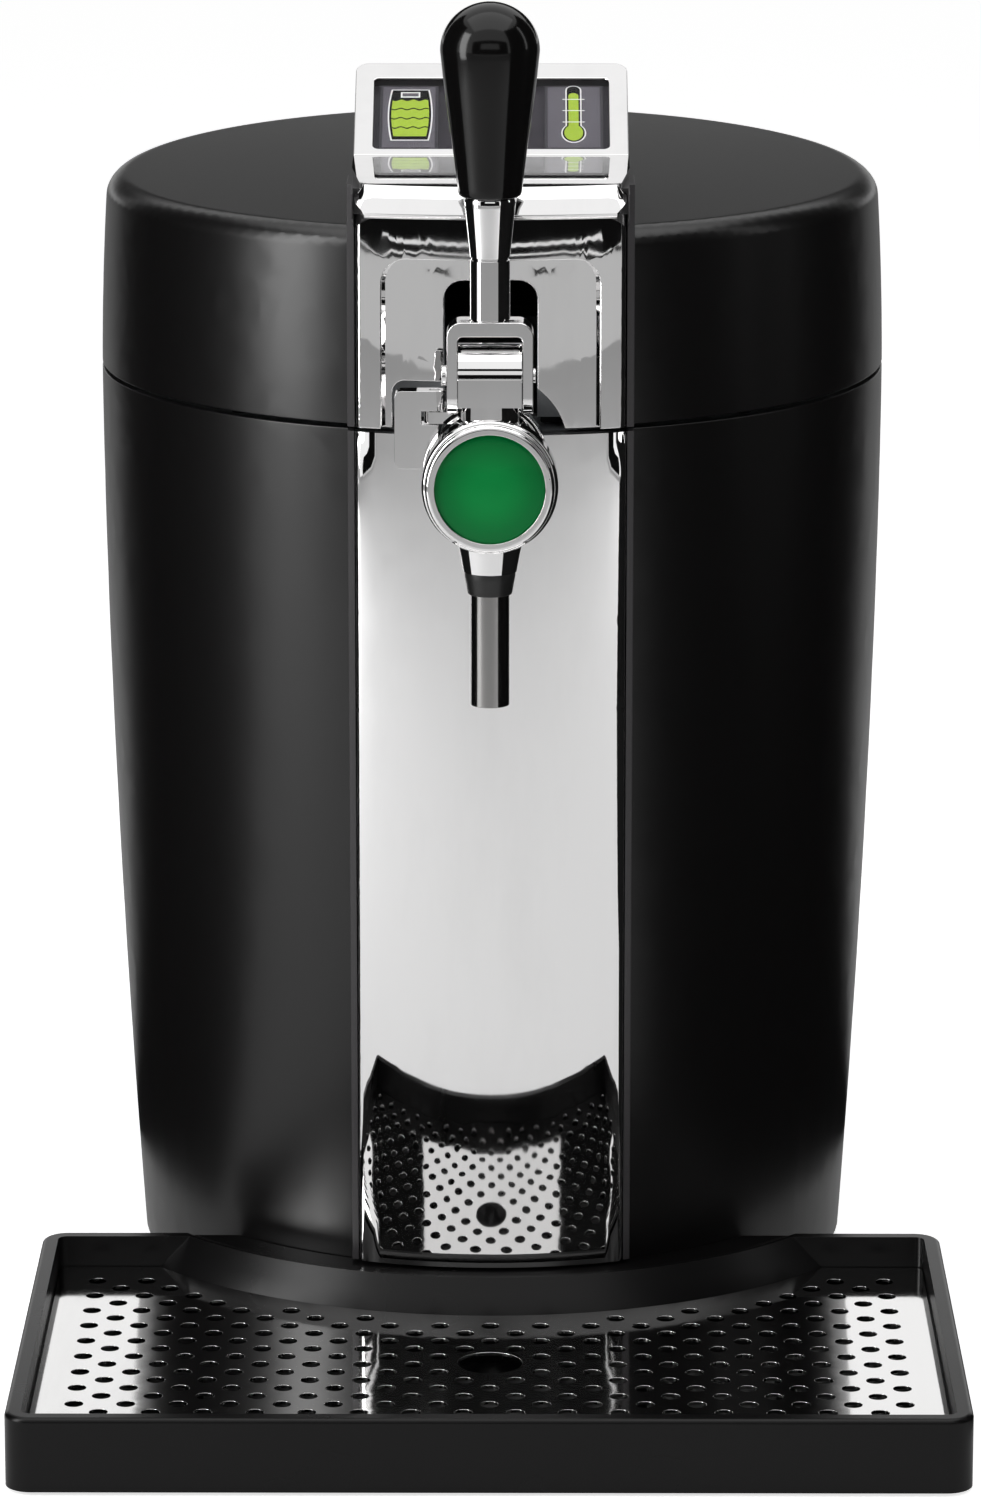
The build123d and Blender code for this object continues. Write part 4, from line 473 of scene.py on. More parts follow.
def joined(tree, *parts):
    node = tree.nodes.new("GeometryNodeJoinGeometry")
    for part in parts:
        feed(node, {"Geometry": part})
    return node.outputs[0]


def end_coated(tree, end, geometry, material):
    feed(end, {"Geometry": result(tree, "GeometryNodeSetMaterial", {"Geometry": geometry,
                                                                    "Material": material})})
    return tree


def punched_plate_tree():
    """Plate from an outline of edges, with a round hole at each loose point."""
    tree, given, end = geometry_tree("Punched plate", (
        ("Sides", "Int", 24), ("Thickness", "Float", MM), ("Height", "Float", 0.0), ("Finish", "Material")))
    radius = attribute(tree, "hole_radius", "FLOAT")
    is_hole = result(tree, "FunctionNodeCompare", {"A": radius, "B": 1e-5}, data_type="FLOAT",
                     operation="GREATER_THAN")
    split = add(tree, "GeometryNodeSeparateGeometry", {"Geometry": given["Geometry"], "Selection": is_hole},
                domain="POINT").outputs
    outline = result(tree, "GeometryNodeMeshToCurve", {"Mesh": split["Inverted"]})
    circle = result(tree, "GeometryNodeCurvePrimitiveCircle", {"Radius": 1.0, "Resolution": given["Sides"]})
    holes = result(tree, "GeometryNodeInstanceOnPoints", {"Points": split["Selection"], "Instance": circle,
                                                          "Scale": radius})
    real = result(tree, "GeometryNodeRealizeInstances", {"Geometry": holes})
    fill = result(tree, "GeometryNodeFillCurve", {"Curve": joined(tree, real, outline)})
    thick = result(tree, "GeometryNodeExtrudeMesh", {"Mesh": fill, "Offset Scale": given["Thickness"],
                                                     "Individual": False})
    under = result(tree, "GeometryNodeFlipFaces", {"Mesh": fill})
    closed = result(tree, "GeometryNodeMergeByDistance", {"Geometry": joined(tree, thick, under),
                                                          "Distance": 1e-6})
    lift = result(tree, "ShaderNodeCombineXYZ", {"Z": given["Height"]})
    placed = result(tree, "GeometryNodeTransform", {"Geometry": closed, "Translation": lift})
    return end_coated(tree, end, placed, given["Finish"])


def screw_tree():
    """Sets one screw on each point, its head turned to the point's heading."""
    tree, given, end = geometry_tree("Set of screws", (("Screw", "Object"), ("Finish", "Material")))
    screw = add(tree, "GeometryNodeObjectInfo", {"Object": given["Screw"]}).outputs["Geometry"]
    each = result(tree, "GeometryNodeInstanceOnPoints", {
        "Points": given["Geometry"], "Instance": screw,
        "Rotation": attribute(tree, "heading", "FLOAT_VECTOR")})
    real = result(tree, "GeometryNodeRealizeInstances", {"Geometry": each})
    return end_coated(tree, end, real, given["Finish"])


# ---- operators
class DISPENSER_OT_body(bpy.types.Operator):
    """Barrel, lid, trims, dock and rubber parts"""
    bl_idname = "dispenser.body"
    bl_label = "Body and lid"

    def execute(self, context):
        edge = context.scene.body_look.edge
        skin("body_shell", "barrel_skin", "barrel_plastic", edge)
        skin("lid_shell", "lid_skin", "barrel_plastic", edge)
        skin("column_trims", "column_edging", "console_plastic", edge / 2)
        skin("tray_dock", "dock_skin", "tray_plastic", edge)
        skin("base_pan", "floor_pan", "dark_plastic", edge / 2)
        skin("rubber_feet", "foot_pads", "rubber", 0.5 * MM)
        skin("tray_pads", "tray_feet", "rubber", 0.2 * MM)
        skin("lid_gasket", "lid_seal", "rubber", 0.4 * MM)
        skin("lid_buffers", "lid_bumpers", "rubber", 0.2 * MM)
        return {"FINISHED"}


class DISPENSER_OT_chrome(bpy.types.Operator):
    """Chrome column, upper panel, shelf and display frame"""
    bl_idname = "dispenser.chrome"
    bl_label = "Chrome front"

    def execute(self, context):
        edge = context.scene.metal_look.plate_edge
        skin("column_plate", "column_face", "chrome")
        skin("upper_panel", "panel_face", "chrome", edge)
        self.shelf()
        skin("display_bezel", "display_frame", "chrome", edge)
        skin("console_housing", "console_cheeks", "console_plastic", edge)
        return {"FINISHED"}

    @staticmethod
    def shelf():
        """Gently falling plate and the bowed lip whose top slopes down to its face."""
        low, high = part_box("shelf")
        half, front_half, corner_r, foot_r, bow_r = mm(41.0, 38.0, 3.0, 1.7, 200)
        plate_thick, plate_start, plate_taper = mm(1.8, 5.1, 31.0)
        lip_depth, lip_top, lip_middle, overlap, hair = mm(12.5, 5.2, 4.0, 0.02, 0.002)
        slant = ((3.6, 1.5), (2.2, 3.4), (1.0, 5.5), (0.0, 7.7))    # mm behind the face, mm below its top
        plate_half, lip_back, slope, end_pinch, smooth_deg = high.x, low.y + lip_depth, 3.3 / 45.5, 0.85, 24

        def bow(x):
            return low.y + bow_r - math.sqrt(bow_r ** 2 - x * x)

        def front(x):
            into_corner = max(0.0, abs(x) - (half - corner_r))
            return bow(x) + corner_r - math.sqrt(max(corner_r ** 2 - into_corner ** 2, 0.0))

        def top(y):
            return high.z - (high.y - y) * slope

        def lip_section(x):
            face = front(x)
            seam = min(face + lip_top, lip_back - 0.3 * MM)
            loop = [(lip_back, top(lip_back) - overlap), (seam, top(seam) - overlap)]
            loop += [(min(face + u * MM, seam - 0.1 * MM), top(face) - d * MM) for u, d in slant]
            for i in range(5):
                turn = math.radians(90 * i / 4)
                loop.append((face + foot_r * (1 - math.cos(turn)), low.z + foot_r * (1 - math.sin(turn))))
            loop.append((lip_back, low.z))
            pinch = end_pinch * max(0.0, (abs(x) - front_half) / (half - front_half))
            middle = top(face) - lip_middle
            return [(y, z + (middle - z) * pinch) for y, z in loop]

        def plate_section(x):
            flare = (abs(x) - front_half) / (plate_half - front_half)
            face = max(bow(x) + plate_start, low.y + plate_taper * flare)
            return [(high.y, high.z), (face, top(face)), (face, top(face) - plate_thick),
                    (high.y, high.z - plate_thick)]

        bm = bmesh.new()
        for reach, section in ((half, lip_section), (plate_half, plate_section)):
            spots = [front_half * i / 16 for i in range(-16, 17)]
            ends = [front_half + (reach - front_half) * i / 6 for i in range(1, 6)]
            ends.append(reach - hair)       # to stay inside the CAD box
            spots = [-x for x in ends[::-1]] + spots + ends
            rings = [[bm.verts.new((x, y, z)) for y, z in section(x)] for x in spots]
            for near, far in zip(rings, rings[1:]):
                for i in range(len(near)):
                    j = (i + 1) % len(near)
                    bm.faces.new((near[i], near[j], far[j], far[i]))
            bm.faces.new(rings[0][::-1])
            bm.faces.new(rings[-1])
        bmesh.ops.recalc_face_normals(bm, faces=bm.faces[:])
        stand_in(object_from(bm, "shelf_plate", smooth_deg), "chrome", "shelf")


class DISPENSER_OT_tray(bpy.types.Operator):
    """Drip tray"""
    bl_idname = "dispenser.tray"
    bl_label = "Drip tray"

    def execute(self, context):
        skin("drip_tray", "tray_skin", "tray_plastic", 0.5 * MM)
        return {"FINISHED"}


class DISPENSER_OT_grille(bpy.types.Operator):
    """Perforated plate with its finger hole"""
    bl_idname = "dispenser.grille"
    bl_label = "Perforated plate"

    def execute(self, context):
        spec = context.scene.grille_look
        low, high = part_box("drip_grille")
        bm = bmesh.new()
        radius = bm.verts.layers.float.new("hole_radius")
        ring = [bm.verts.new((x, y, 0)) for x, y in self.outline(low, high)]
        for a, b in zip(ring, ring[1:] + ring[:1]):
            bm.edges.new((a, b))
        holes = [(x, y, spec.hole_radius) for x, y in self.hole_spots(low, high, spec)]
        for x, y, size in holes + [(0, AXIS_Y - FINGER_REACH, spec.finger_radius)]:
            spot = bm.verts.new((x, y, 0))
            spot[radius] = size
        plate = object_from(bm, "perforated_plate")
        run_tree(plate, punched_plate_tree(), {"Sides": spec.sides, "Thickness": spec.thickness,
                                               "Height": low.z, "Finish": look("grille_steel")})
        self.round_rims(plate)
        stand_in(plate, "grille_steel", "drip_grille")
        return {"FINISHED"}

    @staticmethod
    def outline(low, high):
        """Rounded rectangle with an arc about the keg's axis cut from its back."""
        corner, steps = 2.5 * MM, 72
        left, right, front, back = low.x + corner, high.x - corner, low.y + corner, high.y - corner

        def rounded(x, y, start):
            turns = [math.radians(start + 15 * i) for i in range(7)]
            return [(x + corner * math.cos(turn), y + corner * math.sin(turn)) for turn in turns]

        half_turn = math.asin((AXIS_Y - high.y) / TRAY_ARC)
        turns = [-half_turn - i * (math.pi - 2 * half_turn) / steps for i in range(steps + 1)]
        arc = [(TRAY_ARC * math.cos(turn), AXIS_Y + TRAY_ARC * math.sin(turn)) for turn in turns]
        return (rounded(left, front, 180) + rounded(right, front, 270) + rounded(right, back, 0) + arc
                + rounded(left, back, 90))

    @staticmethod
    def hole_spots(low, high, spec):
        """Two staggered grids that keep clear of the edges and of the finger hole."""
        border, bridge = mm(4.5, 1.5)
        margin = border + spec.hole_radius
        finger_clear = spec.finger_radius + spec.hole_radius + bridge
        half_width = high.x - margin
        front = AXIS_Y - low.y - margin
        back = AXIS_Y - high.y + margin
        columns = int(half_width / spec.pitch_x * 2)
        rows = int((front - back) / spec.pitch_y * 2)
        spots = []
        for row in range(rows + 1):
            for column in range(-columns, columns + 1):
                x, y = column * spec.pitch_x / 2, -front + row * spec.pitch_y / 2
                near_finger = math.hypot(x, y + FINGER_REACH) < finger_clear
                if not ((row + column) % 2 or math.hypot(x, y) < TRAY_ARC + margin or near_finger):
                    spots.append((x, y + AXIS_Y))
        return spots

    @staticmethod
    def round_rims(plate):
        """Rolls the rim of every hole and the outer edge."""
        rim_angle, smooth_angle, level, rim = math.radians(60), math.radians(50), 1e-6, 0.22 * MM
        bm = bmesh.new()
        bm.from_mesh(plate.data)
        sharp = [e for e in bm.edges if len(e.link_faces) == 2 and e.calc_face_angle() > rim_angle
                 and abs(e.verts[0].co.z - e.verts[1].co.z) < level]
        round_edges(bm, sharp, rim, 2)
        bm.to_mesh(plate.data)
        bm.free()
        plate.data.shade_smooth()
        plate.data.set_sharp_from_angle(angle=smooth_angle)
        even_normals(plate)


class DISPENSER_OT_tap(bpy.types.Operator):
    """Tap body, spout, latch and yoke"""
    bl_idname = "dispenser.tap"
    bl_label = "Tap"

    def execute(self, context):
        skin("tap_body", "tap_casting", "chrome", 0.5 * MM)
        skin("shank_collar", "shank_shroud", "chrome", 0.5 * MM)
        skin("badge_rim", "badge_ring", "chrome", 0.2 * MM)
        skin("yoke", "lever_yoke", "chrome", 0.5 * MM)
        skin("yoke_pin", "lever_pin", "chrome", 0.3 * MM)
        skin("tap_latch", "latch_lug", "chrome", 0.4 * MM)
        skin("latch_pin", "latch_pivot", "steel", 0.2 * MM)
        skin("spout_collar", "spout_gasket", "collar_rubber", 0.3 * MM)
        skin("spout_tube", "spout", "spout_steel", 0.2 * MM)
        skin("shank_nut", "shank_lock_nut", "steel", 0.3 * MM)
        paint("steel", "valve_plunger", "valve_cam", "valve_spring")
        return {"FINISHED"}


class DISPENSER_OT_lever(bpy.types.Operator):
    """Stem and teardrop knob"""
    bl_idname = "dispenser.lever"
    bl_label = "Lever"

    def execute(self, context):
        self.stem()
        self.knob()
        return {"FINISHED"}

    @staticmethod
    def stem():
        """Straight below, a fine groove, then a cone up to the knob."""
        low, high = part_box("stem")
        r_low, r_top, waist_height, groove, ease = mm(5.95, 7.75, 18.7, 0.35, 0.2)
        waist = low.z + waist_height
        points = [(0, low.z), (r_low - 0.4 * MM, low.z), (r_low, low.z + 0.4 * MM),
                  (r_low, waist - 0.7 * MM), (r_low - groove, waist - 0.45 * MM),
                  (r_low - groove, waist - 0.05 * MM), (r_low + 0.05 * MM, waist + ease)]
        points += [(r_low + (r_top - r_low) * t, waist + ease + (high.z - waist - 0.8 * MM) * t)
                   for t in (i / 8 for i in range(1, 9))]
        points += [(r_top - 0.35 * MM, high.z), (0, high.z)]
        stand_in(lathe(points, "lever_stem", (0, TAP_Y)), "chrome", "stem")

    @staticmethod
    def knob():
        """Narrow foot that swells to a round head."""
        low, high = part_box("knob")
        length = high.z - low.z
        radius = high.x
        foot, start, dome = mm(9.5, 1.7, 14.2)
        belly = length - dome
        points = [(0, 0), (foot - 1.6 * MM, 0), (foot - 0.9 * MM, 0.25 * MM), (foot - 0.25 * MM, 0.8 * MM),
                  (foot, start)]
        for i in range(1, 25):
            t = i / 24
            swell = 0.87 * t + 0.36 * t ** 2 - 0.23 * t ** 4
            points.append((foot + (radius - foot) * min(swell, 1.0), start + (belly - start) * t))
        for i in range(1, 21):
            turn = math.radians(90 * i / 20)
            points.append((radius * math.cos(turn), belly + dome * math.sin(turn)))
        points[-1] = (0, length)
        piece = lathe([(r, low.z + h) for r, h in points], "lever_knob", (0, TAP_Y), 128)
        stand_in(piece, "knob_gloss", "knob")


class DISPENSER_OT_badge(bpy.types.Operator):
    """Plain enamelled badge with a low dome"""
    bl_idname = "dispenser.badge"
    bl_label = "Badge"

    def execute(self, context):
        low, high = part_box("badge_disc")
        radius = (high.x - low.x) / 2
        centre_z = (high.z + low.z) / 2
        depth = high.y - low.y
        rim, dome = depth * 0.35, depth * 0.62
        points = [(0, 0), (radius, 0), (radius, rim)]
        for i in range(1, 12):
            t = i / 12
            turn = t * math.pi / 2
            points.append((radius * math.cos(turn), rim + dome * math.sin(turn) * (0.4 + 0.6 * t)))
        points.append((0, depth * 0.97))
        disc = lathe(points, "badge_face", (0, 0))
        disc.data.transform(Matrix.Translation((0, high.y, centre_z)) @ Matrix.Rotation(math.pi / 2, 4, "X"))
        stand_in(disc, "badge_enamel", "badge_disc")
        return {"FINISHED"}


# each layer of the displays: its finish, and the depths of its back and front in mm below the frame's front
LAYERS = {"border": ("cell_border", 3.4, 2.5), "face": ("cell", 2.5, 2.32),
          "outline": ("symbol_white", 2.32, 2.22), "ground": ("symbol_black", 2.22, 2.14),
          "fill": ("symbol_lit", 2.14, 2.06), "handle": ("symbol_white", 2.14, 2.08),
          "handle_slot": ("cell", 2.08, 2.04), "mark": ("symbol_white", 2.06, 2.0)}


def display_to_world(across, along, depth):
    """Point of the leaning display: across, up the slope, and into the console."""
    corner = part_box("display_bezel")[0]
    back, rise = math.sin(DISPLAY_LEAN), math.cos(DISPLAY_LEAN)
    return Vector((across, corner.y + along * back + depth * rise,
                   corner.z + BEZEL_THICKNESS * back + along * rise - depth * back))


def flat_symbol(name, outline, layer):
    """Thin raised layer of the display, from an outline in display coordinates."""
    finish_name, *depths = LAYERS[layer]
    low_depth, high_depth = mm(*depths)
    bm = bmesh.new()
    ring = [bm.verts.new((x, y, 0)) for x, y in outline]
    edges = [bm.edges.new(pair) for pair in zip(ring, ring[1:] + ring[:1])]
    bmesh.ops.triangle_fill(bm, edges=edges, use_beauty=True, normal=(0, 0, 1))
    grown = bmesh.ops.extrude_face_region(bm, geom=bm.faces[:], use_keep_orig=True)
    top = [g for g in grown["geom"] if isinstance(g, bmesh.types.BMVert)]
    for vert in bm.verts:
        vert.co = display_to_world(vert.co.x, vert.co.y, low_depth)
    lift = display_to_world(0, 0, high_depth) - display_to_world(0, 0, low_depth)
    bmesh.ops.translate(bm, verts=top, vec=lift)
    bmesh.ops.recalc_face_normals(bm, faces=bm.faces[:])
    return finish(object_from(bm, name), "lid", finish_name, "display_cell")


def rectangle(cx, cy, half, tall):
    return [(cx - half, cy - tall), (cx + half, cy - tall), (cx + half, cy + tall), (cx - half, cy + tall)]


class DISPENSER_OT_displays(bpy.types.Operator):
    """Window, level display and thermometer display"""
    bl_idname = "dispenser.displays"
    bl_label = "Displays"

    def execute(self, context):
        spread_x, middle, half, tall, inset = mm(25.5, 22.6, 9.0, 16.8, 0.9)
        for side, node, name in ((-1, "keg_gauge", "level_cell"),
                                 (1, "temperature_gauge", "temperature_cell")):
            x = side * spread_x
            base = flat_symbol(name, rectangle(x, middle, half, tall), "border")
            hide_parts(node)
            flat_symbol(name + "_face", rectangle(x, middle, half - inset, tall - inset), "face")
        line = context.scene.display_look.line
        self.keg(-25.1 * MM, 23.6 * MM, line)
        self.thermometer(25.4 * MM, line)
        skin("display_window", "window_pane", "window_glass")
        paint("display_ground", "display_board")
        return {"FINISHED"}

    @staticmethod
    def keg(cx, cy, line):
        """Keg outline with a hand slot and four wavy bands of drink in it."""
        half_width, half_height, slot_height = mm(6.5, 12.9, 10.4)
        wall, band, gap, first, swing = mm(0.65, 4.2, 0.65, 1.6, 0.42)

        def bulge(t):
            """Half width at a height from -1 to 1, as a share of the widest."""
            return 0.84 + 0.16 * (1 - t * t)

        def outline(grow):
            heights = [-1 + i / 5 for i in range(11)]
            return [(cx + side * (half_width * bulge(t) + grow), cy + side * t * (half_height + grow))
                    for side in (1, -1) for t in heights]

        flat_symbol("level_outline", outline(line), "outline")
        flat_symbol("level_ground", outline(0), "ground")
        flat_symbol("level_handle", rectangle(cx, cy + slot_height, *mm(3.0, 1.4)), "handle")
        flat_symbol("level_handle_slot", rectangle(cx, cy + slot_height, *mm(2.5, 0.8)), "handle_slot")
        for i in range(4):
            low = cy - half_height + first + i * (band + gap)
            loop_low, loop_high = [], []
            for k in range(33):
                t = -1 + 2 * k / 32
                wave = swing * math.sin(3 * math.pi * t)
                for loop, y in ((loop_low, low + (wave if i else 0)), (loop_high, low + band + wave)):
                    loop.append((cx + t * (half_width * bulge((y - cy) / half_height) - wall), y))
            flat_symbol("level_band_%d" % i, loop_low + loop_high[::-1], "fill")

    @staticmethod
    def thermometer(cx, line):
        """Bulb and stem with three marks."""
        stem_r, bulb_wide, bulb_tall, inset = mm(1.65, 3.0, 4.2, 0.1)
        bulb_y, top_y, rim, unfilled = mm(14.2, 36.6, 0.4, 3.2)

        def outline(grow, cap_y):
            wide, tall, cap_r = bulb_wide + grow, bulb_tall + grow, stem_r + grow
            start = math.asin(cap_r / wide)
            bulb = [math.pi / 2 + start + i * (2 * math.pi - 2 * start) / 40 for i in range(41)]
            cap = [math.pi * i / 12 for i in range(13)]
            return ([(cx + wide * math.cos(turn), bulb_y + tall * math.sin(turn)) for turn in bulb]
                    + [(cx + cap_r * math.cos(turn), cap_y + cap_r * math.sin(turn)) for turn in cap])

        flat_symbol("thermometer_outline", outline(line + rim, top_y), "outline")
        flat_symbol("thermometer_ground", outline(rim, top_y), "ground")
        flat_symbol("thermometer_fill", outline(-inset, top_y - unfilled), "fill")
        for i, y in enumerate(mm(19.7, 25.7, 31.6)):
            flat_symbol("thermometer_mark_%d" % i, rectangle(cx, y, *mm(3.4, 0.16)), "mark")


class DISPENSER_OT_inside(bpy.types.Operator):
    """Well, insulation, deck, cooler and electronics"""
    bl_idname = "dispenser.inside"
    bl_label = "Inside"

    def execute(self, context):
        skin("keg_well", "well_lining", "well_lining", 0.3 * MM)
        skin("top_deck", "deck_skin", "liner_plastic", 0.4 * MM)
        skin("lid_liner", "lid_lining", "liner_plastic", 0.4 * MM)
        paint("foam", "insulation_sleeve")
        paint("grey_foam", "lid_foam")
        paint("dark_plastic", "column_core")
        paint("aluminium", "cold_block", "heat_sink")
        paint("ceramic", "peltier_module")
        paint("circuit_board", "control_board")
        paint("dark_plastic", "board_parts")
        return {"FINISHED"}


class DISPENSER_OT_rear(bpy.types.Operator):
    """Hinge, outlet grille, fan, service panel, inlet and switch"""
    bl_idname = "dispenser.rear"
    bl_label = "Rear"

    def execute(self, context):
        skin("hinge_base", "hinge_lower", "barrel_plastic", 0.3 * MM)
        skin("lid_leaf", "hinge_upper", "barrel_plastic", 0.3 * MM)
        skin("hinge_pin", "hinge_rod", "steel", 0.3 * MM)
        skin("rear_grille", "outlet_grille", "barrel_plastic", 0.3 * MM)
        skin("rear_panel", "service_panel", "dark_plastic", 0.4 * MM)
        skin("power_inlet", "inlet_socket", "dark_plastic", 0.3 * MM)
        skin("switch_housing", "switch_frame", "dark_plastic", 0.3 * MM)
        skin("switch_rocker", "switch_key", "knob_gloss", 0.3 * MM)
        skin("fan_rotor", "fan_wheel", "dark_plastic", 0.15 * MM)
        skin("fan_frame", "fan_surround", "dark_plastic", 0.3 * MM)
        paint("brass", "inlet_blades")
        return {"FINISHED"}


class DISPENSER_OT_screws(bpy.types.Operator):
    """Cross-head screws of the base pan and the hinge"""
    bl_idname = "dispenser.screws"
    bl_label = "Screws"

    head_radius, head_height = mm(2.8, 1.8)

    def execute(self, context):
        pattern = self.screw()
        tree = screw_tree()
        low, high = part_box("pan_screws")
        reach = (high.x - low.x) / 2 - self.head_radius
        spots = [(x * reach, AXIS_Y + y * reach, low.z + self.head_height) for x in (-1, 1) for y in (-1, 1)]
        self.place("pan_screw_set", pattern, tree, spots, (math.pi, 0, 0), "pan_screws")
        low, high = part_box("hinge_screws")
        reach = (high.x - low.x) / 2 - self.head_radius
        spots = [(x * reach, high.y - self.head_height, (low.z + high.z) / 2) for x in (-1, 1)]
        self.place("hinge_screw_set", pattern, tree, spots, (-math.pi / 2, 0, 0), "hinge_screws")
        bpy.data.objects.remove(pattern)
        return {"FINISHED"}

    def screw(self):
        """Pan-head screw that points up, with a cross recess and its shank below."""
        r, h = self.head_radius, self.head_height
        shank, tip, length, arm, arm_half, deep = mm(1.5, 1.0, 7, 1.7, 0.22, 0.8)
        points = [(0, -length), (tip, -length), (shank, tip - length), (shank, 0), (r, 0), (r, 0.5 * h)]
        points += [(r * math.cos(math.radians(a)), 0.5 * h + 0.5 * h * math.sin(math.radians(a)))
                   for a in (20, 40, 60, 78)]
        points += [(0.1 * r, h), (0, h)]
        head = lathe(points, "screw_pattern", (0, 0), 24)
        bm = bmesh.new()
        for x, y in ((arm, arm_half), (arm_half, arm)):
            bmesh.ops.create_cube(bm, size=2.0, matrix=Matrix.Translation((0, 0, h))
                                  @ Matrix.Diagonal((x, y, deep, 1)))
        cutter = object_from(bm, "cross_cutter")
        cut = head.modifiers.new("Cross", "BOOLEAN")
        cut.operation = "DIFFERENCE"
        cut.solver = "EXACT"
        cut.use_self = True
        cut.object = cutter
        baked(head)
        bpy.data.objects.remove(cutter)
        return head

    @staticmethod
    def place(name, pattern, tree, spots, turn, node):
        """One screw at each spot, all turned the same way."""
        bm = bmesh.new()
        heading = bm.verts.layers.float_vector.new("heading")
        for spot in spots:
            vert = bm.verts.new(spot)
            vert[heading] = Vector(turn)
        piece = object_from(bm, name)
        run_tree(piece, tree, {"Screw": pattern, "Finish": look("steel")})
        stand_in(piece, "steel", node)


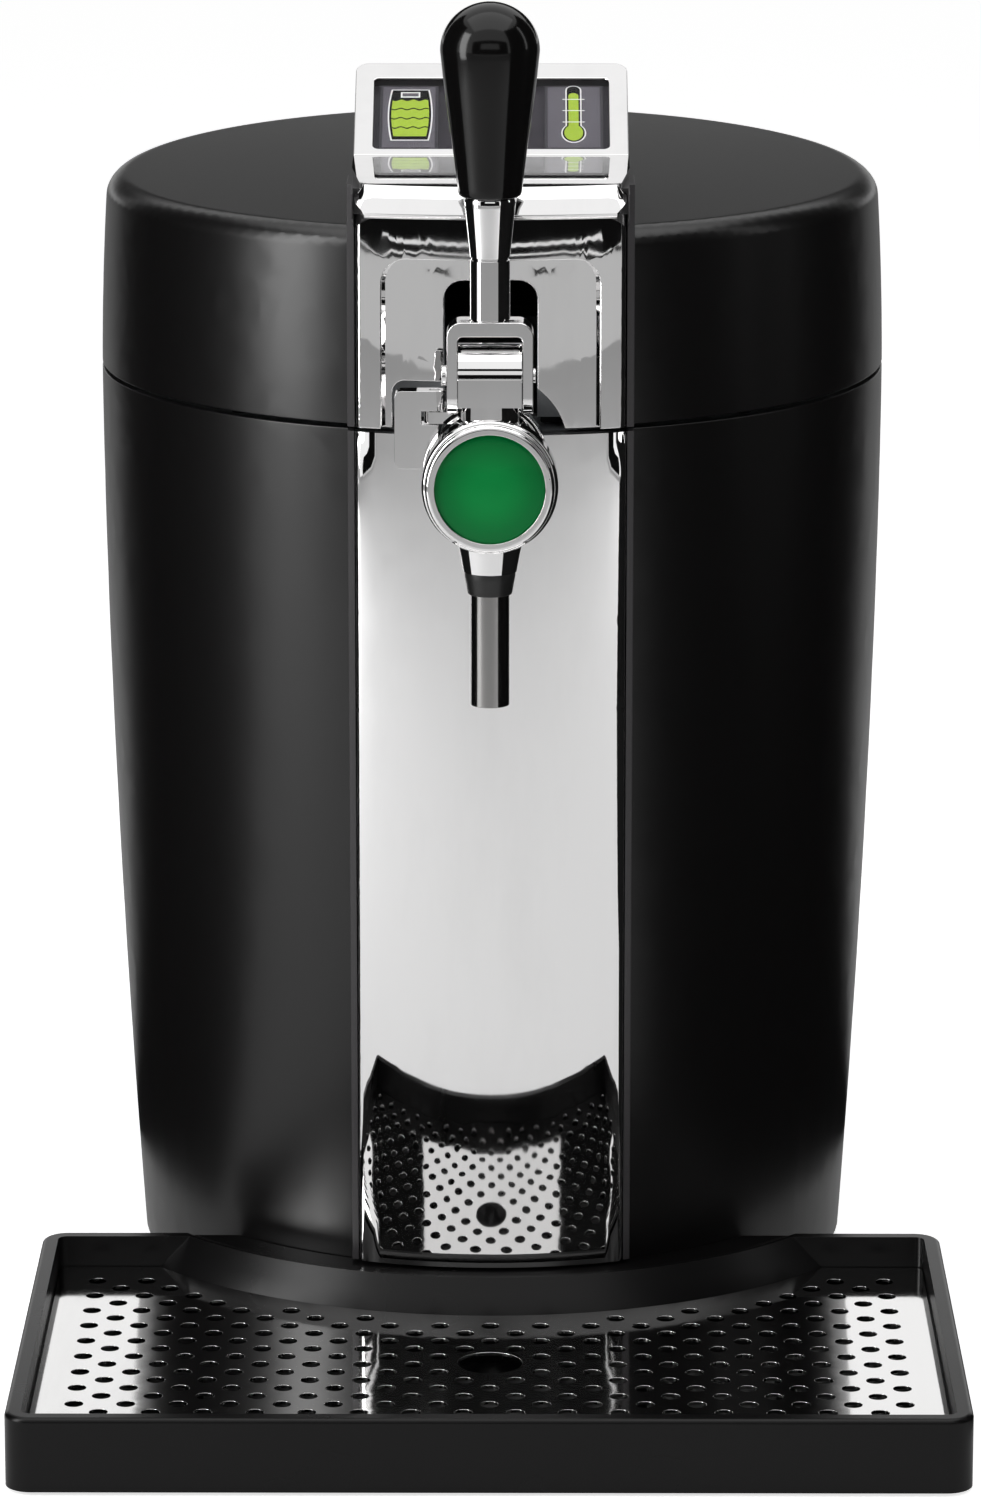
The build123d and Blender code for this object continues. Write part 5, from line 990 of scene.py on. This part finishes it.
class DISPENSER_OT_stage(bpy.types.Operator):
    """Floor, studio lights and camera"""
    bl_idname = "dispenser.stage"
    bl_label = "Studio"

    def execute(self, context):
        spec = context.scene.studio_look
        self.floor()
        self.world(context.scene)
        self.lamps(spec)
        self.camera(context.scene, spec)
        return {"FINISHED"}

    @staticmethod
    def empty_nodes(owner):
        owner.use_nodes = True
        owner.node_tree.nodes.clear()
        return owner.node_tree

    def floor(self):
        """White table that glows a little for the camera alone, so that only shadows stay grey."""
        bm = bmesh.new()
        bmesh.ops.create_grid(bm, x_segments=2, y_segments=2, size=12.0)
        floor = object_from(bm, "studio_floor")
        material = bpy.data.materials.new("studio_white")
        tree = self.empty_nodes(material)
        seen = add(tree, "ShaderNodeLightPath").outputs["Is Camera Ray"]
        glow = result(tree, "ShaderNodeEmission", {"Strength": calc(tree, "MULTIPLY", seen, 0.7)})
        matt = result(tree, "ShaderNodeBsdfDiffuse", {"Color": (0.86, 0.86, 0.86, 1)})
        both = result(tree, "ShaderNodeAddShader", {0: matt, 1: glow})
        add(tree, "ShaderNodeOutputMaterial", {"Surface": both})
        floor.data.materials.append(material)

    def world(self, scene):
        """White to the camera, to mirrors and through glass; a weak fill to everything else."""
        scene.world = bpy.data.worlds.new("studio_air")
        tree = self.empty_nodes(scene.world)
        path = add(tree, "ShaderNodeLightPath").outputs
        seen = calc(tree, "MAXIMUM", path["Is Camera Ray"], path["Is Transmission Ray"])
        plain = calc(tree, "MAXIMUM", seen, path["Is Glossy Ray"])
        fill, white = (result(tree, "ShaderNodeBackground", {"Color": (1, 1, 1, 1), "Strength": strength})
                       for strength in (0.32, 1.0))
        both = result(tree, "ShaderNodeMixShader", {"Fac": plain, 1: fill, 2: white})
        add(tree, "ShaderNodeOutputWorld", {"Surface": both})

    @staticmethod
    def flag(name, bm, glow=0.0):
        """Cloth that only reflections see, black unless it glows."""
        cloth = object_from(bm, name)
        material = bpy.data.materials.new(name)
        material.use_nodes = True
        feed(material.node_tree.nodes["Principled BSDF"], {
            "Base Color": (0.01, 0.01, 0.01, 1), "Specular IOR Level": 0.0,
            "Emission Color": (1, 1, 1, 1), "Emission Strength": glow})
        cloth.data.materials.append(material)
        for ray in ("camera", "diffuse", "shadow", "transmission"):
            setattr(cloth, "visible_" + ray, False)

    def wing(self, name, start_deg, end_deg):
        """Cloth that lies on the table round one side and then rises; angles from the front."""
        inner, outer, above, height = mm(170, 850, 0.4, 1300)
        steps = 24
        bm = bmesh.new()
        columns = []
        for i in range(steps + 1):
            turn = math.radians(start_deg + (end_deg - start_deg) * i / steps)
            x, y = math.sin(turn), -math.cos(turn)
            columns.append([bm.verts.new((r * x, AXIS_Y + r * y, z))
                            for r, z in ((inner, above), (outer, above), (outer, height))])
        for near, far in zip(columns, columns[1:]):
            for low in (0, 1):
                bm.faces.new((near[low], near[low + 1], far[low + 1], far[low]))
        self.flag(name, bm)

    def card(self, name, y, low_z, high_z, half_width, glow=0.0):
        """Upright card across the view, in front of the object or behind it."""
        bm = bmesh.new()
        bm.faces.new([bm.verts.new((x, y, z)) for x, z in ((-half_width, low_z), (half_width, low_z),
                                                           (half_width, high_z), (-half_width, high_z))])
        self.flag(name, bm, glow)

    @staticmethod
    def area_light(name, power, wide, tall, spot):
        lamp = bpy.data.lights.new(name, "AREA")
        lamp.shape = "RECTANGLE"
        lamp.size, lamp.size_y = wide, tall
        lamp.energy = power
        obj = link(name, lamp)
        obj.location = spot
        obj.visible_camera = False
        return obj

    def softbox(self, name, power, wide, tall, azimuth_deg, reach, height):
        """Upright area light that faces the object; azimuth from the front."""
        azimuth = math.radians(azimuth_deg)
        spot = Vector((reach * math.sin(azimuth), AXIS_Y - reach * math.cos(azimuth), height))
        obj = self.area_light(name, power, wide, tall, spot)
        obj.rotation_euler = (Vector((0, AXIS_Y, 0.2)) - spot).to_track_quat("-Z", "Y").to_euler()
        return obj

    def lamps(self, spec):
        """Lights, and the flags and cards that shape what chrome and gloss mirror."""
        self.softbox("softbox_left", spec.softbox, 0.34, 1.1, -58, 1.15, 0.62)
        self.softbox("strip_right", 0.045 * spec.softbox, 0.07, 0.9, 82, 0.80, 0.55)
        fill = self.softbox("fill_right", 0.6 * spec.softbox, 0.6, 1.1, 50, 1.3, 0.7)
        fill.visible_glossy = False
        self.area_light("overhead", spec.overhead, 1.9, 1.25, (0, -0.25, 1.7))
        self.wing("wing_left", -70, -135)
        self.wing("wing_right", 39, 135)
        front, behind_cards, back = -2.5, -2.52, 0.9
        for card in (("card_low", front, 0.0, 0.215, 2.2, 0.5),
                     ("flag_front", behind_cards, 0.215, 1.9, 2.2),
                     ("card_thin_strip", front, 0.228, 0.234, 2.2, 0.9),
                     ("card_strip", front, 0.260, 0.273, 1.5, 0.8),
                     ("card_high", front, 0.85, 1.46, 0.95, 0.8),
                     ("flag_back", back, 0.44, 0.85, 0.7)):
            self.card(*card)

    @staticmethod
    def camera(scene, spec):
        shift, pan = 8 * MM, 0.0040
        data = bpy.data.cameras.new("front_camera")
        data.lens = spec.lens
        data.clip_end = 50
        scene.camera = link("front_camera", data)
        scene.camera.location = (shift, AXIS_Y - spec.camera_distance, spec.camera_height)
        scene.camera.rotation_euler = (math.pi / 2 - spec.camera_tilt, 0, pan)
        scene.view_settings.view_transform = "Standard"


class DISPENSER_PT_panel(bpy.types.Panel):
    """Buttons for each group of pieces"""
    bl_idname = "DISPENSER_PT_panel"
    bl_label = "Keg dispenser"
    bl_space_type = "VIEW_3D"
    bl_region_type = "UI"
    bl_category = "Dispenser"

    def draw(self, context):
        for operator in OPERATORS:
            self.layout.operator(operator.bl_idname)
        for name, _ in LOOKS:
            box = self.layout.box()
            group_of = getattr(context.scene, name)
            for key in group_of.__annotations__:
                box.prop(group_of, key)


LOOKS = (("body_look", BodyLook), ("metal_look", MetalLook), ("grille_look", GrilleLook),
         ("display_look", DisplayLook), ("tap_look", TapLook), ("studio_look", StudioLook))
OPERATORS = (DISPENSER_OT_body, DISPENSER_OT_chrome, DISPENSER_OT_tray, DISPENSER_OT_grille, DISPENSER_OT_tap,
             DISPENSER_OT_lever, DISPENSER_OT_badge, DISPENSER_OT_displays, DISPENSER_OT_inside,
             DISPENSER_OT_rear, DISPENSER_OT_screws, DISPENSER_OT_stage)


def register():
    for name, kind in LOOKS:
        bpy.utils.register_class(kind)
        setattr(bpy.types.Scene, name, PointerProperty(type=kind))
    for kind in OPERATORS + (DISPENSER_PT_panel,):
        bpy.utils.register_class(kind)


def unregister():
    for kind in (DISPENSER_PT_panel,) + OPERATORS[::-1]:
        bpy.utils.unregister_class(kind)
    for name, kind in LOOKS[::-1]:
        delattr(bpy.types.Scene, name)
        bpy.utils.unregister_class(kind)


def main():
    register()
    bpy.ops.dispenser.body()
    bpy.ops.dispenser.chrome()
    bpy.ops.dispenser.tray()
    bpy.ops.dispenser.grille()
    bpy.ops.dispenser.tap()
    bpy.ops.dispenser.lever()
    bpy.ops.dispenser.badge()
    bpy.ops.dispenser.displays()
    bpy.ops.dispenser.inside()
    bpy.ops.dispenser.rear()
    bpy.ops.dispenser.screws()
    bpy.ops.dispenser.stage()
    bpy.context.view_layer.update()


if __name__ == "__main__":
    main()
